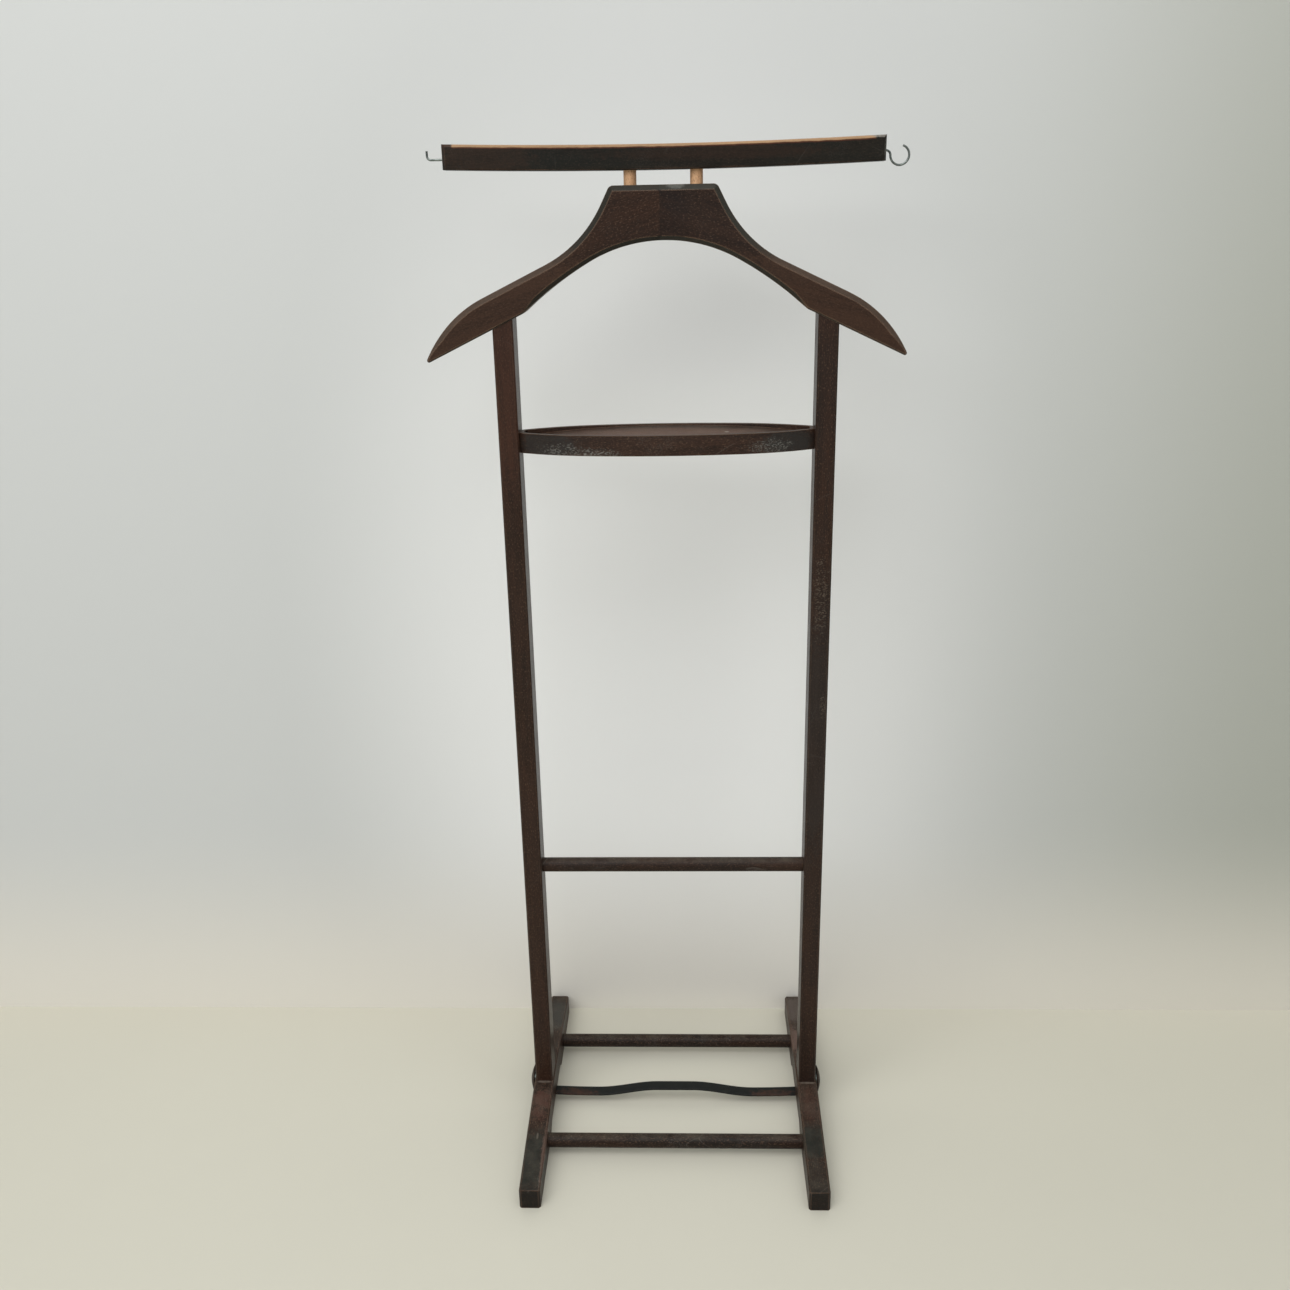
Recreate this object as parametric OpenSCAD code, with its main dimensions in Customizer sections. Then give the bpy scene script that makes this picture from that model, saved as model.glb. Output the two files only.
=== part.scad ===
// Valet stand: two posts bolted into a pair of feet, a wooden hanger, a tray,
// a trouser rail, and a trouser bar that lifts on two dowels.
// X runs across the stand, Y from front (-Y) to back, Z up.
// The origin is on the floor, midway between the posts on their centre plane.

/* [Posts] */
// Distance between the centre lines of the two posts
post_spacing = 312; // [290:1:340]
// Width of a post across the stand
post_w = 20; // [18:0.5:24]
// Depth of a post, front to back
post_d = 32; // [28:0.5:36]
// Chamfer along the long edges of a post
post_chamfer = 1.5; // [0.5:0.1:3]

/* [Feet] */
// Length of a foot, front to back
foot_len = 350; // [320:1:400]
// Width of a foot
foot_w = 23; // [22:0.5:28]
// Height of a foot under the post
foot_h = 39.5; // [38:0.5:48]
// Height of a foot where its two upper slopes meet
foot_knee_h = 33; // [29:0.5:36]
// Height of a foot at its ends
foot_end_h = 23.5; // [20:0.5:27]
// Height of the hollow under the middle of a foot
hollow_h = 10; // [6:0.5:11]
// Length of the hollow under the middle of a foot
hollow_len = 128; // [100:1:140]

/* [Rails] */
// Diameter of the round rails
rail_dia = 16; // [12:0.5:17]
// Height of the shoe rails above the floor
shoe_rail_z = 17; // [14:0.5:19]
// Distance of each shoe rail from the posts' centre plane
shoe_rail_y = 90; // [84:1:110]
// Height of the trouser rail above the floor
trouser_rail_z = 322; // [250:1:500]

/* [Centre strap] */
// Width of the strap, front to back
strap_w = 14; // [10:0.5:18]
// Thickness of the strap
strap_t = 2.5; // [2:0.1:3]
// Height of the strap's centre line at its low points
strap_low_z = 11.6; // [10.5:0.1:13]
// Rise of the strap's crown over its low points
strap_rise = 8.5; // [4:0.5:12]
// Distance of the strap's low points from its middle
strap_low_x = 90; // [70:1:105]

/* [Base knobs] */
// Diameter of a base knob
knob_dia = 31; // [24:0.5:34]
// Height of a base knob
knob_h = 4.6; // [4:0.1:8]
// Height of the knobs' axis above the floor
knob_z = 31; // [28:0.5:32]
// Diameter of the threaded stud
stud_dia = 6; // [5:0.5:6]

/* [Tray] */
// Depth of the tray at its middle, front to back
tray_d = 75; // [66:0.5:84]
// Thickness of the tray
tray_t = 20; // [18:0.5:24]
// Height of the tray's rim above the floor
tray_z = 811; // [760:1:830]
// Width of the tray's ends
tray_end_w = 18.5; // [18:0.5:24]
// Radius of the tray's long edges over their middle
tray_wide_r = 560; // [500:10:640]
// Distance from the middle at which the tray's edges turn in to its ends
tray_turn_x = 80; // [70:1:90]
// Width of the tray's rim
tray_rim = 4; // [3:0.5:6]
// Depth of the dish at its middle
dish_depth = 6; // [4:0.5:8]

/* [Hanger] */
// Width of the hanger from tip to tip
hanger_span = 462; // [440:1:480]
// Height of the hanger's head above the floor
hanger_z = 1039; // [1000:1:1100]
// Thickness of the hanger, front to back
hanger_t = 36; // [36:0.5:42]
// Half width of the hanger's head at its top
head_half = 50; // [46:0.5:56]
// Lean of the head's sides from the vertical
head_lean = 27; // [22:0.5:30]
// Radius of the hollow between head and arm
neck_r = 118; // [100:1:130]
// Slope of the arms
arm_slope = 25.5; // [24:0.5:27]
// Width of an arm, square to its slope
arm_w = 30; // [28:0.5:33]
// Height of the arch's crown under the top of the head
arch_drop = 49; // [48:0.5:54]
// Radius of the crown of the arch
arch_r = 145; // [135:1:155]
// Distance from the middle at which the arch's crown runs on into its flanks
crown_x = 70; // [64:1:76]
// Distance from the arch's heel to the inner side of the post
heel_in = 10.7; // [9:0.1:13]
// Length of the rounded shoulder, from its start on the arm to the tip
shoulder_run = 56; // [50:1:62]
// Bevel along the hanger's upper edges
hanger_bevel = 5; // [3:0.5:5.5]
// Bevel along the arch
arch_bevel = 4; // [2:0.5:5]
// Distance of the glued seam from the middle
seam_x = -3.5; // [-6:0.5:6]

/* [Trouser bar] */
// Length of the trouser bar
bar_len = 409; // [380:1:430]
// Height of the bar's section
bar_h = 22.3; // [20:0.1:26]
// Depth of the bar's section
bar_d = 22; // [20:0.5:26]
// Rise of the bar's ends over its middle
bar_rise = 3.5; // [2:0.5:6]
// Gap between the head and the bar, as it stands lifted
bar_lift = 13; // [5:0.5:16]
// Diameter of the two dowels that the bar lifts on
bar_dowel_dia = 12; // [10:0.5:14]
// Distance between the two dowels
bar_dowel_gap = 62; // [56:1:68]

/* [Hooks] */
// Diameter of the hook wire
wire_dia = 2.1; // [1.8:0.1:2.6]
// Radius of the round hook's eye
eye_r = 8.6; // [7:0.1:10]
// Reach of the square hook
square_reach = 15.4; // [12:0.1:18]
// Height of the square hook's tip over its shank
square_up = 7.5; // [5:0.1:10]
// Distance of the hooks' shanks below the middle of the bar's ends
hook_drop = 2; // [0:0.5:4]

/* [Hidden] */
$fn = 144;

wood = [0.20, 0.14, 0.11];
wood_dark = [0.15, 0.11, 0.09];
bare_beech = [0.72, 0.54, 0.38];
steel = [0.55, 0.57, 0.55];
dark_steel = [0.17, 0.18, 0.17];
brass = [0.70, 0.55, 0.28];

// Radial clearance of a glued or sliding dowel in its bore
fit = 0.05;
// Gap left beyond the end of a dowel, rail, tab or screw in its bore
end_gap = 0.5;
// Gap that keeps the insert and the stud short of the faces round them
seat_gap = 0.2;
// Overlap of a cutting tool past the face it cuts
past = 1;
// Overlap of two pieces of one outline
lap = 0.01;
// Most that a chord of an outline leaves its arc
chord_gap = 0.02;

post_x = post_spacing / 2;
inner_x = post_x - post_w / 2;
foot_in_x = post_x - foot_w / 2;
foot_out_x = post_x + foot_w / 2;

// Base joint: a tongue under the post in a mortise through the foot
tongue_w = 9;
tongue_shoulder = 3;
tongue_d = post_d - 2 * tongue_shoulder;
mortise_gap = 2;
tongue_end_z = hollow_h + mortise_gap;
socket_deep = 12;

// Feet: the flat under the post, the slope of the hollow's ends, and the bevels
foot_ledge = 6;
foot_flat = post_d + 2 * foot_ledge;
hollow_slope = 14;
foot_top_bevel = (foot_w - post_w) / 2;
foot_nose_bevel = 2;

// Radial clearance of the stud in the tongue, the cheek and the washer
stud_fit = 0.2;
washer_t = 1;
washer_dia = 18;
insert_wall = 1.3;
insert_dia = stud_dia + 2 * insert_wall;
insert_len = 5.5;
cheek_x = post_x - tongue_w / 2;
stud_in_x = cheek_x - insert_len + end_gap;
knob_in_x = foot_out_x + washer_t;
stud_grip = 3;

// Strap: a raised crown between two low points, then a slight rise to each foot
strap_tab = 5.5;
strap_end_rise = 1.4;
strap_steps = 20;
strap_end_steps = 6;
function strap_z(x) = x < strap_low_x
    ? strap_low_z + strap_rise * (1 + cos(180 * x / strap_low_x)) / 2
    : strap_low_z + strap_end_rise * ((x - strap_low_x) / (foot_in_x - strap_low_x)) ^ 2;
strap_end_z = strap_z(foot_in_x);

// Radius of the arc that leaves p square to n and runs inside a circle of radius r round q
function arc_r(p, q, n, r) = ((q - p) * (q - p) - r * r) / (2 * ((q - p) * n - r));

// Tray outline: a wide arc over the middle and a tighter one to each end, as [x, y]
tray_turn = asin(tray_turn_x / tray_wide_r);
tray_wide_c = tray_wide_r - tray_d / 2;
tray_turn_p = [tray_turn_x, tray_wide_r * cos(tray_turn) - tray_wide_c];
tray_turn_n = [-sin(tray_turn), -cos(tray_turn)];
tray_tight_r = arc_r(tray_turn_p, [inner_x, tray_end_w / 2], tray_turn_n, 0);
tray_tight_c = tray_turn_p + tray_tight_r * tray_turn_n;
dish_lip = 1.5;
dish_half = tray_d / 2 - tray_rim;
dish_r = (dish_half ^ 2 + (dish_depth - dish_lip) ^ 2) / (2 * (dish_depth - dish_lip));
tray_dowel_dia = 6;
tray_dowel_y = 4.6;
tray_dowel_in = 11;

// Hanger outline, right half, as [x, z]
// Drop of the line of the arms' upper edges under the head's top, at the middle
arm_top_drop = 15.5;
under_bevel = 1.5;
// Radius left at the head's corners inside the bevel
head_corner = 0.8;
// Turn left between two arcs where one runs on into the other
arc_gap = 1;
head_r = hanger_bevel + head_corner;
tip_r = 2;
function arm_top(x) = hanger_z - arm_top_drop - x * tan(arm_slope);
function arm_under(x) = arm_top(x) - arm_w / cos(arm_slope);

head_c = [head_half - head_r * tan(45 - head_lean / 2), hanger_z - head_r];
neck_x = (head_half + arm_top_drop * tan(head_lean)) / (1 - tan(head_lean) * tan(arm_slope));
neck_run = neck_r * tan((90 - head_lean - arm_slope) / 2);
neck_b = [neck_x, arm_top(neck_x)] + neck_run * [cos(arm_slope), -sin(arm_slope)];
neck_c = neck_b + neck_r * [sin(arm_slope), cos(arm_slope)];

arm_end_x = hanger_span / 2 - tip_r;
tip_c = [arm_end_x, arm_under(arm_end_x) + tip_r / cos(arm_slope)];
bend_x = hanger_span / 2 - shoulder_run;
bend_p = [bend_x, arm_top(bend_x)];
bend_n = [-sin(arm_slope), -cos(arm_slope)];
bend_r = arc_r(bend_p, tip_c, bend_n, tip_r);
bend_c = bend_p + bend_r * bend_n;
tip_angle = atan2(tip_c[1] - bend_c[1], tip_c[0] - bend_c[0]);
tip_fade = tip_angle + (90 - arm_slope - tip_angle) / 3;

arch_c = [0, hanger_z - arch_drop - arch_r];
arch_turn = asin(crown_x / arch_r);
arch_p = arch_c + arch_r * [sin(arch_turn), cos(arch_turn)];
arch_n = [-sin(arch_turn), -cos(arch_turn)];
heel_x = inner_x - heel_in;
heel_p = [heel_x, arm_under(heel_x)];
flank_r = arc_r(arch_p, heel_p, arch_n, 0);
flank_c = arch_p + flank_r * arch_n;
heel_angle = atan2(heel_p[1] - flank_c[1], heel_p[0] - flank_c[0]);
heel_fade = heel_angle + 3 * arc_gap;

splice_dia = 8;
splice_len = 40;
splice_z = [hanger_z - 14, hanger_z - 35];
post_dowel_dia = 8;
post_dowel_in = 26;
post_dowel_up = 22;

// Trouser bar
bar_z = hanger_z + bar_lift;
bar_top_r = 3;
bar_under_r = 1.5;
bar_corner = 3;
bar_steps = 24;
// Rise of the bar at x over its middle
function bar_bow(x) = bar_rise * (2 * x / bar_len) ^ 2;
bar_socket = 14;
hanger_socket = 47;
bar_dowel_down = 32;
bar_end_z = bar_z + bar_rise + bar_h / 2 - hook_drop;

// Hooks
screw_len = 14;
screw_out = 0.8;
wire_r = wire_dia / 2;
thread_h = 0.25;
screw_r = wire_r + thread_h;
wire_sides = 16;
hook_in = -4;
hook_bend_r = eye_r / 2;
// Turn left between the round hook's two arcs, where one bends back against the other
hook_arc_gap = 6;
// Angle at which the eye ends, and the turn over which its tip is rounded
eye_open = 70;
eye_tip = 5;
square_r = 3.6;

// Draws its children once as they are and once mirrored to the left
module both_sides() {
    children();
    mirror([1, 0, 0]) children();
}

// A cylinder along X from x0 to x1
module bar_x(x0, x1, dia) {
    translate([x0, 0, 0]) rotate([0, 90, 0]) cylinder(d = dia, h = x1 - x0);
}

// Angles along an arc of radius r from a0 to a1, close enough to keep its chords by chord_gap
function arc_angles(r, a0, a1) =
    let (n = ceil(abs(a1 - a0) / (2 * acos(1 - chord_gap / r))))
        [for (i = [0 : n]) a0 + (a1 - a0) * i / n];

// Points along an arc round c, from angle a0 to a1
function arc_points(c, r, a0, a1) = [
    for (a = arc_angles(r, a0, a1)) c + r * [cos(a), sin(a)]
];

// Skins a stack of closed rings of [x, y, z] points, each clockwise as seen from the first end.
// The caps are flat: one convex face each, or the triangles that cap lists by their points.
module loft(rings, cap = undef) {
    n = len(rings[0]);
    last = len(rings) - 1;
    ends = is_undef(cap) ? [[for (i = [0 : n - 1]) i]] : cap;
    polyhedron(
        points = [for (ring = rings) each ring],
        faces = concat(
            ends,
            [for (k = [0 : last - 1], i = [0 : n - 1])
                let (a = k * n + i, b = k * n + (i + 1) % n) each [[a, a + n, b + n], [a, b + n, b]]],
            [for (face = ends) [for (i = [len(face) - 1 : -1 : 0]) last * n + face[i]]]
        )
    );
}

// Triangles that fill an outline which runs out along X from point i and back to point j
function filled(outline, i, j) = j - i < 2 ? [] :
    outline[i + 1][0] < outline[j - 1][0]
        ? concat([[i, i + 1, j]], filled(outline, i + 1, j))
        : concat([[i, j - 1, j]], filled(outline, i, j - 1));

// Way out of the wood at a corner between two sides that face u and v
function corner_out(u, v) = (u + v) / (1 + u * v);

// Plate drawn in the XZ plane, t thick along Y, with both faces bevelled along its outline.
// Each entry of edge is [point, way out of the wood, bevel]. The outline is clockwise,
// out along X over the top and back underneath.
module bevelled_plate(edge, t) {
    y = t / 2;
    inner = [for (e = edge) e[0] - e[2] * e[1]];
    loft([
        [for (p = inner) [p[0], -y, p[1]]],
        [for (e = edge) [e[0][0], e[2] - y, e[0][1]]],
        [for (e = edge) [e[0][0], y - e[2], e[0][1]]],
        [for (p = inner) [p[0], y, p[1]]]
    ], filled(inner, 0, len(inner) - 1));
}

// ---- feet ----

// Upper edge of a foot's back half, as [y, z]
foot_top = [
    [0, foot_h], [foot_flat / 2, foot_h], [shoe_rail_y, foot_knee_h], [foot_len / 2, foot_end_h]
];

module foot_side() {
    half = concat(foot_top, [
        [foot_len / 2, 0], [hollow_len / 2, 0], [hollow_len / 2 - hollow_slope, hollow_h]
    ]);
    polygon(concat(half, [for (i = [len(half) - 1 : -1 : 1]) [-half[i][0], half[i][1]]]));
}

// Plan of a foot with its four corners taken off, wider than the foot by past on each side
module foot_plan() {
    w = foot_w / 2 + past;
    l = foot_len / 2;
    nose = foot_nose_bevel + past;
    polygon([
        [-w, l - nose], [nose - w, l], [w - nose, l], [w, l - nose],
        [w, nose - l], [w - nose, -l], [nose - w, -l], [-w, nose - l]
    ]);
}

// Bevels the edge that runs along x from p to q, given as [y, z], and on past both its ends
module foot_edge_cut(p, q, x, size) {
    overrun = 6;
    side = size * sqrt(2);
    translate([x, p[0], p[1]])
        rotate([atan2(q[1] - p[1], q[0] - p[0]), 0, 0])
            rotate([0, 45, 0])
                translate([-side / 2, -overrun, -side / 2])
                    cube([side, norm(q - p) + 2 * overrun, side]);
}

module foot_blank() {
    difference() {
        intersection() {
            translate([foot_in_x, 0, 0]) rotate([90, 0, 90]) linear_extrude(foot_w) foot_side();
            translate([post_x, 0, -past]) linear_extrude(foot_h + 2 * past) foot_plan();
        }
        for (side = [0, 1], x = [foot_in_x, foot_out_x], i = [0 : len(foot_top) - 2])
            mirror([0, side, 0])
                foot_edge_cut(foot_top[i], foot_top[i + 1], x, foot_top_bevel);
    }
}

module right_foot() {
    color(wood_dark) difference() {
        foot_blank();
        // mortise for the post's tongue
        translate([post_x - tongue_w / 2 - fit, -tongue_d / 2 - fit, 0])
            cube([tongue_w + 2 * fit, tongue_d + 2 * fit, foot_h + past]);
        // stud hole through the outer cheek, and the insert's blind hole in the inner one
        translate([0, 0, knob_z])
            bar_x(cheek_x + tongue_w - past, foot_out_x + past, stud_dia + 2 * stud_fit);
        translate([0, 0, knob_z])
            bar_x(cheek_x - insert_len, cheek_x + past, insert_dia + 2 * fit);
        for (y = [-shoe_rail_y, shoe_rail_y])
            translate([0, y, shoe_rail_z])
                bar_x(foot_in_x - past, foot_in_x + socket_deep, rail_dia + 2 * fit);
        // slot for the strap's tab
        translate([foot_in_x - past, -strap_w / 2 - fit, strap_end_z - strap_t / 2 - fit])
            cube([strap_tab + past, strap_w + 2 * fit, strap_t + 2 * fit]);
    }
}

module left_foot() { mirror([1, 0, 0]) right_foot(); }

// ---- posts ----

module post_blank() {
    difference() {
        union() {
            translate([inner_x, -post_d / 2, foot_h])
                cube([post_w, post_d, arm_under(inner_x) + past - foot_h]);
            translate([post_x - tongue_w / 2, -tongue_d / 2, tongue_end_z])
                cube([tongue_w, tongue_d, foot_h - tongue_end_z + past]);
        }
        for (x = [inner_x, inner_x + post_w], y = [-post_d / 2, post_d / 2])
            translate([x, y, foot_h - past])
                rotate([0, 0, 45])
                    translate([-post_chamfer / sqrt(2), -post_chamfer / sqrt(2), 0])
                        cube([post_chamfer * sqrt(2), post_chamfer * sqrt(2), hanger_z]);
        // sloping top, flush under the hanger's arm
        translate([post_x, 0, arm_under(post_x)])
            rotate([0, arm_slope, 0])
                translate([-2 * post_w, -post_d, 0]) cube([4 * post_w, 2 * post_d, 2 * post_w]);
    }
}

module right_post() {
    color(wood) difference() {
        post_blank();
        translate([0, 0, knob_z]) bar_x(inner_x, foot_out_x, stud_dia + 2 * stud_fit);
        translate([0, 0, trouser_rail_z])
            bar_x(inner_x - past, inner_x + socket_deep, rail_dia + 2 * fit);
        for (y = [-tray_dowel_y, tray_dowel_y])
            translate([0, y, tray_z - tray_t / 2])
                bar_x(inner_x - past, inner_x + tray_dowel_in + end_gap, tray_dowel_dia + 2 * fit);
        translate([post_x, 0, arm_under(post_x) - post_dowel_in - end_gap])
            cylinder(d = post_dowel_dia + 2 * fit, h = post_dowel_in + post_w);
    }
}

module left_post() { mirror([1, 0, 0]) right_post(); }

// ---- rails and strap ----

// A round rail between two sockets that open at x = reach
module rail(reach, y, z) {
    end_x = reach + socket_deep - end_gap;
    color(wood_dark) translate([0, y, z]) bar_x(-end_x, end_x, rail_dia);
}

module front_shoe_rail() { rail(foot_in_x, -shoe_rail_y, shoe_rail_z); }

module rear_shoe_rail() { rail(foot_in_x, shoe_rail_y, shoe_rail_z); }

module trouser_rail() { rail(inner_x, 0, trouser_rail_z); }

module centre_strap() {
    half = concat(
        [for (i = [0 : strap_steps]) let (x = strap_low_x * i / strap_steps) [x, strap_z(x)]],
        [for (i = [1 : strap_end_steps])
            let (x = strap_low_x + (foot_in_x - strap_low_x) * i / strap_end_steps) [x, strap_z(x)]],
        [[foot_in_x + strap_tab - end_gap, strap_end_z]]
    );
    last = len(half) - 1;
    line = concat([for (i = [last : -1 : 1]) [-half[i][0], half[i][1]]], half);
    color(dark_steel)
        translate([0, strap_w / 2, 0]) rotate([90, 0, 0]) linear_extrude(strap_w)
            polygon(concat(
                [for (p = line) p + [0, strap_t / 2]],
                [for (i = [len(line) - 1 : -1 : 0]) line[i] - [0, strap_t / 2]]
            ));
}

// ---- base knobs ----

module right_base_knob() {
    rim = 1;
    rise = knob_h - rim;
    dome_r = ((knob_dia / 2) ^ 2 + rise ^ 2) / (2 * rise);
    color(wood_dark) translate([knob_in_x, 0, knob_z]) rotate([0, 90, 0]) difference() {
        intersection() {
            cylinder(d = knob_dia, h = knob_h);
            translate([0, 0, knob_h - dome_r]) sphere(r = dome_r);
        }
        translate([0, 0, -past]) cylinder(d = stud_dia + 2 * fit, h = stud_grip + past);
    }
}

module left_base_knob() { mirror([1, 0, 0]) right_base_knob(); }

module base_studs() {
    color(steel) both_sides()
        translate([0, 0, knob_z]) bar_x(stud_in_x, knob_in_x + stud_grip - seat_gap, stud_dia);
}

module base_washers() {
    color(steel) both_sides() translate([0, 0, knob_z]) difference() {
        bar_x(foot_out_x, knob_in_x, washer_dia);
        bar_x(foot_out_x - past, knob_in_x + past, stud_dia + 2 * stud_fit);
    }
}

module base_inserts() {
    color(brass) both_sides() translate([0, 0, knob_z]) difference() {
        bar_x(cheek_x - insert_len + seat_gap, cheek_x - seat_gap, insert_dia);
        bar_x(cheek_x - insert_len - past, cheek_x + past, stud_dia + 2 * fit);
    }
}

// ---- tray ----

// Outline of the tray drawn in by inset, cut off at x = +-end_x
module tray_outline(inset, end_x) {
    turn_x = (tray_wide_r - inset) * sin(tray_turn);
    intersection() {
        lens(0, tray_wide_c, tray_wide_r - inset);
        square([2 * (turn_x + lap), 2 * tray_d], center = true);
    }
    for (side = [-1, 1]) intersection() {
        lens(side * tray_tight_c[0], -tray_tight_c[1], tray_tight_r - inset);
        translate([side * (turn_x + end_x) / 2, 0])
            square([end_x - turn_x, 2 * tray_d], center = true);
    }
}

// What two circles of radius r have in common, with centres at y = +-c
module lens(x, c, r) {
    intersection() {
        translate([x, -c]) circle(r = r, $fn = 720);
        translate([x, c]) circle(r = r, $fn = 720);
    }
}

module tray() {
    color(wood) translate([0, 0, tray_z]) difference() {
        translate([0, 0, -tray_t]) linear_extrude(tray_t) tray_outline(0, inner_x);
        intersection() {
            translate([0, 0, -tray_t]) linear_extrude(2 * tray_t)
                tray_outline(tray_rim, inner_x - tray_rim);
            translate([0, 0, dish_r - dish_depth])
                bar_x(-inner_x, inner_x, 2 * dish_r, $fn = 360);
        }
        both_sides() for (y = [-tray_dowel_y, tray_dowel_y])
            translate([0, y, -tray_t / 2])
                bar_x(inner_x - tray_dowel_in - end_gap, inner_x + past, tray_dowel_dia + 2 * fit);
    }
}

module tray_dowels() {
    color(bare_beech) both_sides() for (y = [-tray_dowel_y, tray_dowel_y])
        translate([0, y, tray_z - tray_t / 2])
            bar_x(inner_x - tray_dowel_in, inner_x + tray_dowel_in, tray_dowel_dia);
}

// ---- hanger ----

// Stretch of the outline on an arc: each entry is [point, way out of the wood, bevel]
function edge_arc(c, r, a0, a1, out, bevel0, bevel1) = [
    for (a = arc_angles(r, a0, a1)) let (u = [cos(a), sin(a)])
        [c + r * u, out * u, bevel0 + (bevel1 - bevel0) * (a - a0) / (a1 - a0)]
];

// Outline of a hanger half from the seam's top round to its foot
function hanger_edge(from_x) = concat(
    [[[from_x, hanger_z], [0, 1], hanger_bevel]],
    edge_arc(head_c, head_r, 90, head_lean, 1, hanger_bevel, hanger_bevel),
    edge_arc(neck_c, neck_r, 180 + head_lean, 270 - arm_slope, -1, hanger_bevel, hanger_bevel),
    edge_arc(bend_c, bend_r, 90 - arm_slope, tip_fade, 1, hanger_bevel, hanger_bevel),
    edge_arc(bend_c, bend_r, tip_fade - arc_gap, tip_angle + arc_gap, 1,
        hanger_bevel, under_bevel),
    edge_arc(tip_c, tip_r, tip_angle, -90 - arm_slope, 1, under_bevel, under_bevel),
    [[heel_p, corner_out(bend_n, -[cos(heel_angle), sin(heel_angle)]), under_bevel]],
    edge_arc(flank_c, flank_r, heel_fade, 90 - arch_turn, -1, arch_bevel, arch_bevel),
    edge_arc(arch_c, arch_r, 90 - arch_turn + 2 * arc_gap, acos(from_x / arch_r) - arc_gap, -1,
        arch_bevel, arch_bevel),
    [[[from_x, arch_c[1] + sqrt(arch_r ^ 2 - from_x ^ 2)], [0, -1], arch_bevel]]
);

// Bores of one hanger half, for the splice dowels, a bar dowel and a post dowel
module hanger_half_bores(from_x) {
    for (z = splice_z) translate([0, 0, z])
        bar_x(from_x - past, from_x + splice_len / 2 + end_gap, splice_dia + 2 * fit);
    translate([bar_dowel_gap / 2, 0, hanger_z - hanger_socket])
        cylinder(d = bar_dowel_dia + 2 * fit, h = hanger_socket + past);
    translate([post_x, 0, arm_under(post_x) - post_w])
        cylinder(d = post_dowel_dia + 2 * fit, h = post_w + post_dowel_up + end_gap);
}

module right_hanger_half() {
    color(wood) difference() {
        bevelled_plate(hanger_edge(seam_x), hanger_t);
        hanger_half_bores(seam_x);
    }
}

module left_hanger_half() {
    color(wood) mirror([1, 0, 0]) difference() {
        bevelled_plate(hanger_edge(-seam_x), hanger_t);
        hanger_half_bores(-seam_x);
    }
}

module splice_dowels() {
    color(bare_beech) for (z = splice_z) translate([0, 0, z])
        bar_x(seam_x - splice_len / 2, seam_x + splice_len / 2, splice_dia);
}

module post_dowels() {
    color(bare_beech) both_sides()
        translate([post_x, 0, arm_under(post_x) - post_dowel_in])
            cylinder(d = post_dowel_dia, h = post_dowel_in + post_dowel_up);
}

// ---- trouser bar ----

// Ring of the bar's section at x, with rounded arrises
function bar_ring(x) = [
    for (p = concat(
        arc_points([bar_d / 2 - bar_under_r, bar_under_r], bar_under_r, -90, 0),
        arc_points([bar_d / 2 - bar_top_r, bar_h - bar_top_r], bar_top_r, 0, 90),
        arc_points([bar_top_r - bar_d / 2, bar_h - bar_top_r], bar_top_r, 90, 180),
        arc_points([bar_under_r - bar_d / 2, bar_under_r], bar_under_r, 180, 270)
    )) [x, p[0], bar_z + bar_bow(x) + p[1]]
];

module trouser_bar() {
    color(wood) difference() {
        loft([for (i = [0 : bar_steps]) bar_ring(bar_len * (i / bar_steps - 0.5))]);
        // softened corners at both ends
        for (x = [-bar_len / 2, bar_len / 2], y = [-bar_d / 2, bar_d / 2])
            translate([x, y, bar_z - past])
                rotate([0, 0, 45])
                    translate([-bar_corner / sqrt(2), -bar_corner / sqrt(2), 0])
                        cube([bar_corner * sqrt(2), bar_corner * sqrt(2), 3 * bar_h]);
        for (x = [-bar_dowel_gap / 2, bar_dowel_gap / 2])
            translate([x, 0, bar_z - past])
                cylinder(d = bar_dowel_dia + 2 * fit, h = bar_socket + past);
        both_sides() translate([0, 0, bar_end_z])
            bar_x(bar_len / 2 - screw_len - end_gap, bar_len / 2 + past, 2 * (screw_r + fit));
    }
}

module bar_dowel(x) {
    color(bare_beech) translate([x, 0, hanger_z - bar_dowel_down])
        cylinder(d = bar_dowel_dia, h = bar_dowel_down + bar_lift + bar_socket - end_gap);
}

module left_bar_dowel() { bar_dowel(-bar_dowel_gap / 2); }

module right_bar_dowel() { bar_dowel(bar_dowel_gap / 2); }

// ---- hooks ----

// Wire bent in the XZ plane along line, a list of [x, z] points
module bent_wire(line) {
    last = len(line) - 1;
    loft([
        for (i = [0 : last]) let (
            run = line[min(i + 1, last)] - line[max(i - 1, 0)],
            u = run / norm(run),
            // the wire's last ring closes to a rounded tip
            r = i == last ? 0.5 * wire_r : wire_r
        ) [
            for (j = [0 : wire_sides - 1]) let (a = 360 * j / wire_sides)
                [line[i][0] - r * cos(a) * u[1], -r * sin(a), line[i][1] + r * cos(a) * u[0]]
        ]
    ]);
}

// Both hooks turn on their shanks, which screw into the ends of the bar
module round_hook() {
    eye_c = [screw_out + hook_bend_r + eye_r, -hook_bend_r];
    color(steel) translate([bar_len / 2, 0, bar_end_z]) {
        bar_x(-screw_len, screw_out, 2 * screw_r);
        bent_wire(concat(
            [[hook_in, 0]],
            arc_points([screw_out, -hook_bend_r], hook_bend_r, 90, hook_arc_gap),
            arc_points(eye_c, eye_r, 180, 360 + eye_open),
            [eye_c + eye_r * [cos(eye_open + eye_tip), sin(eye_open + eye_tip)]]
        ));
    }
}

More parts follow.
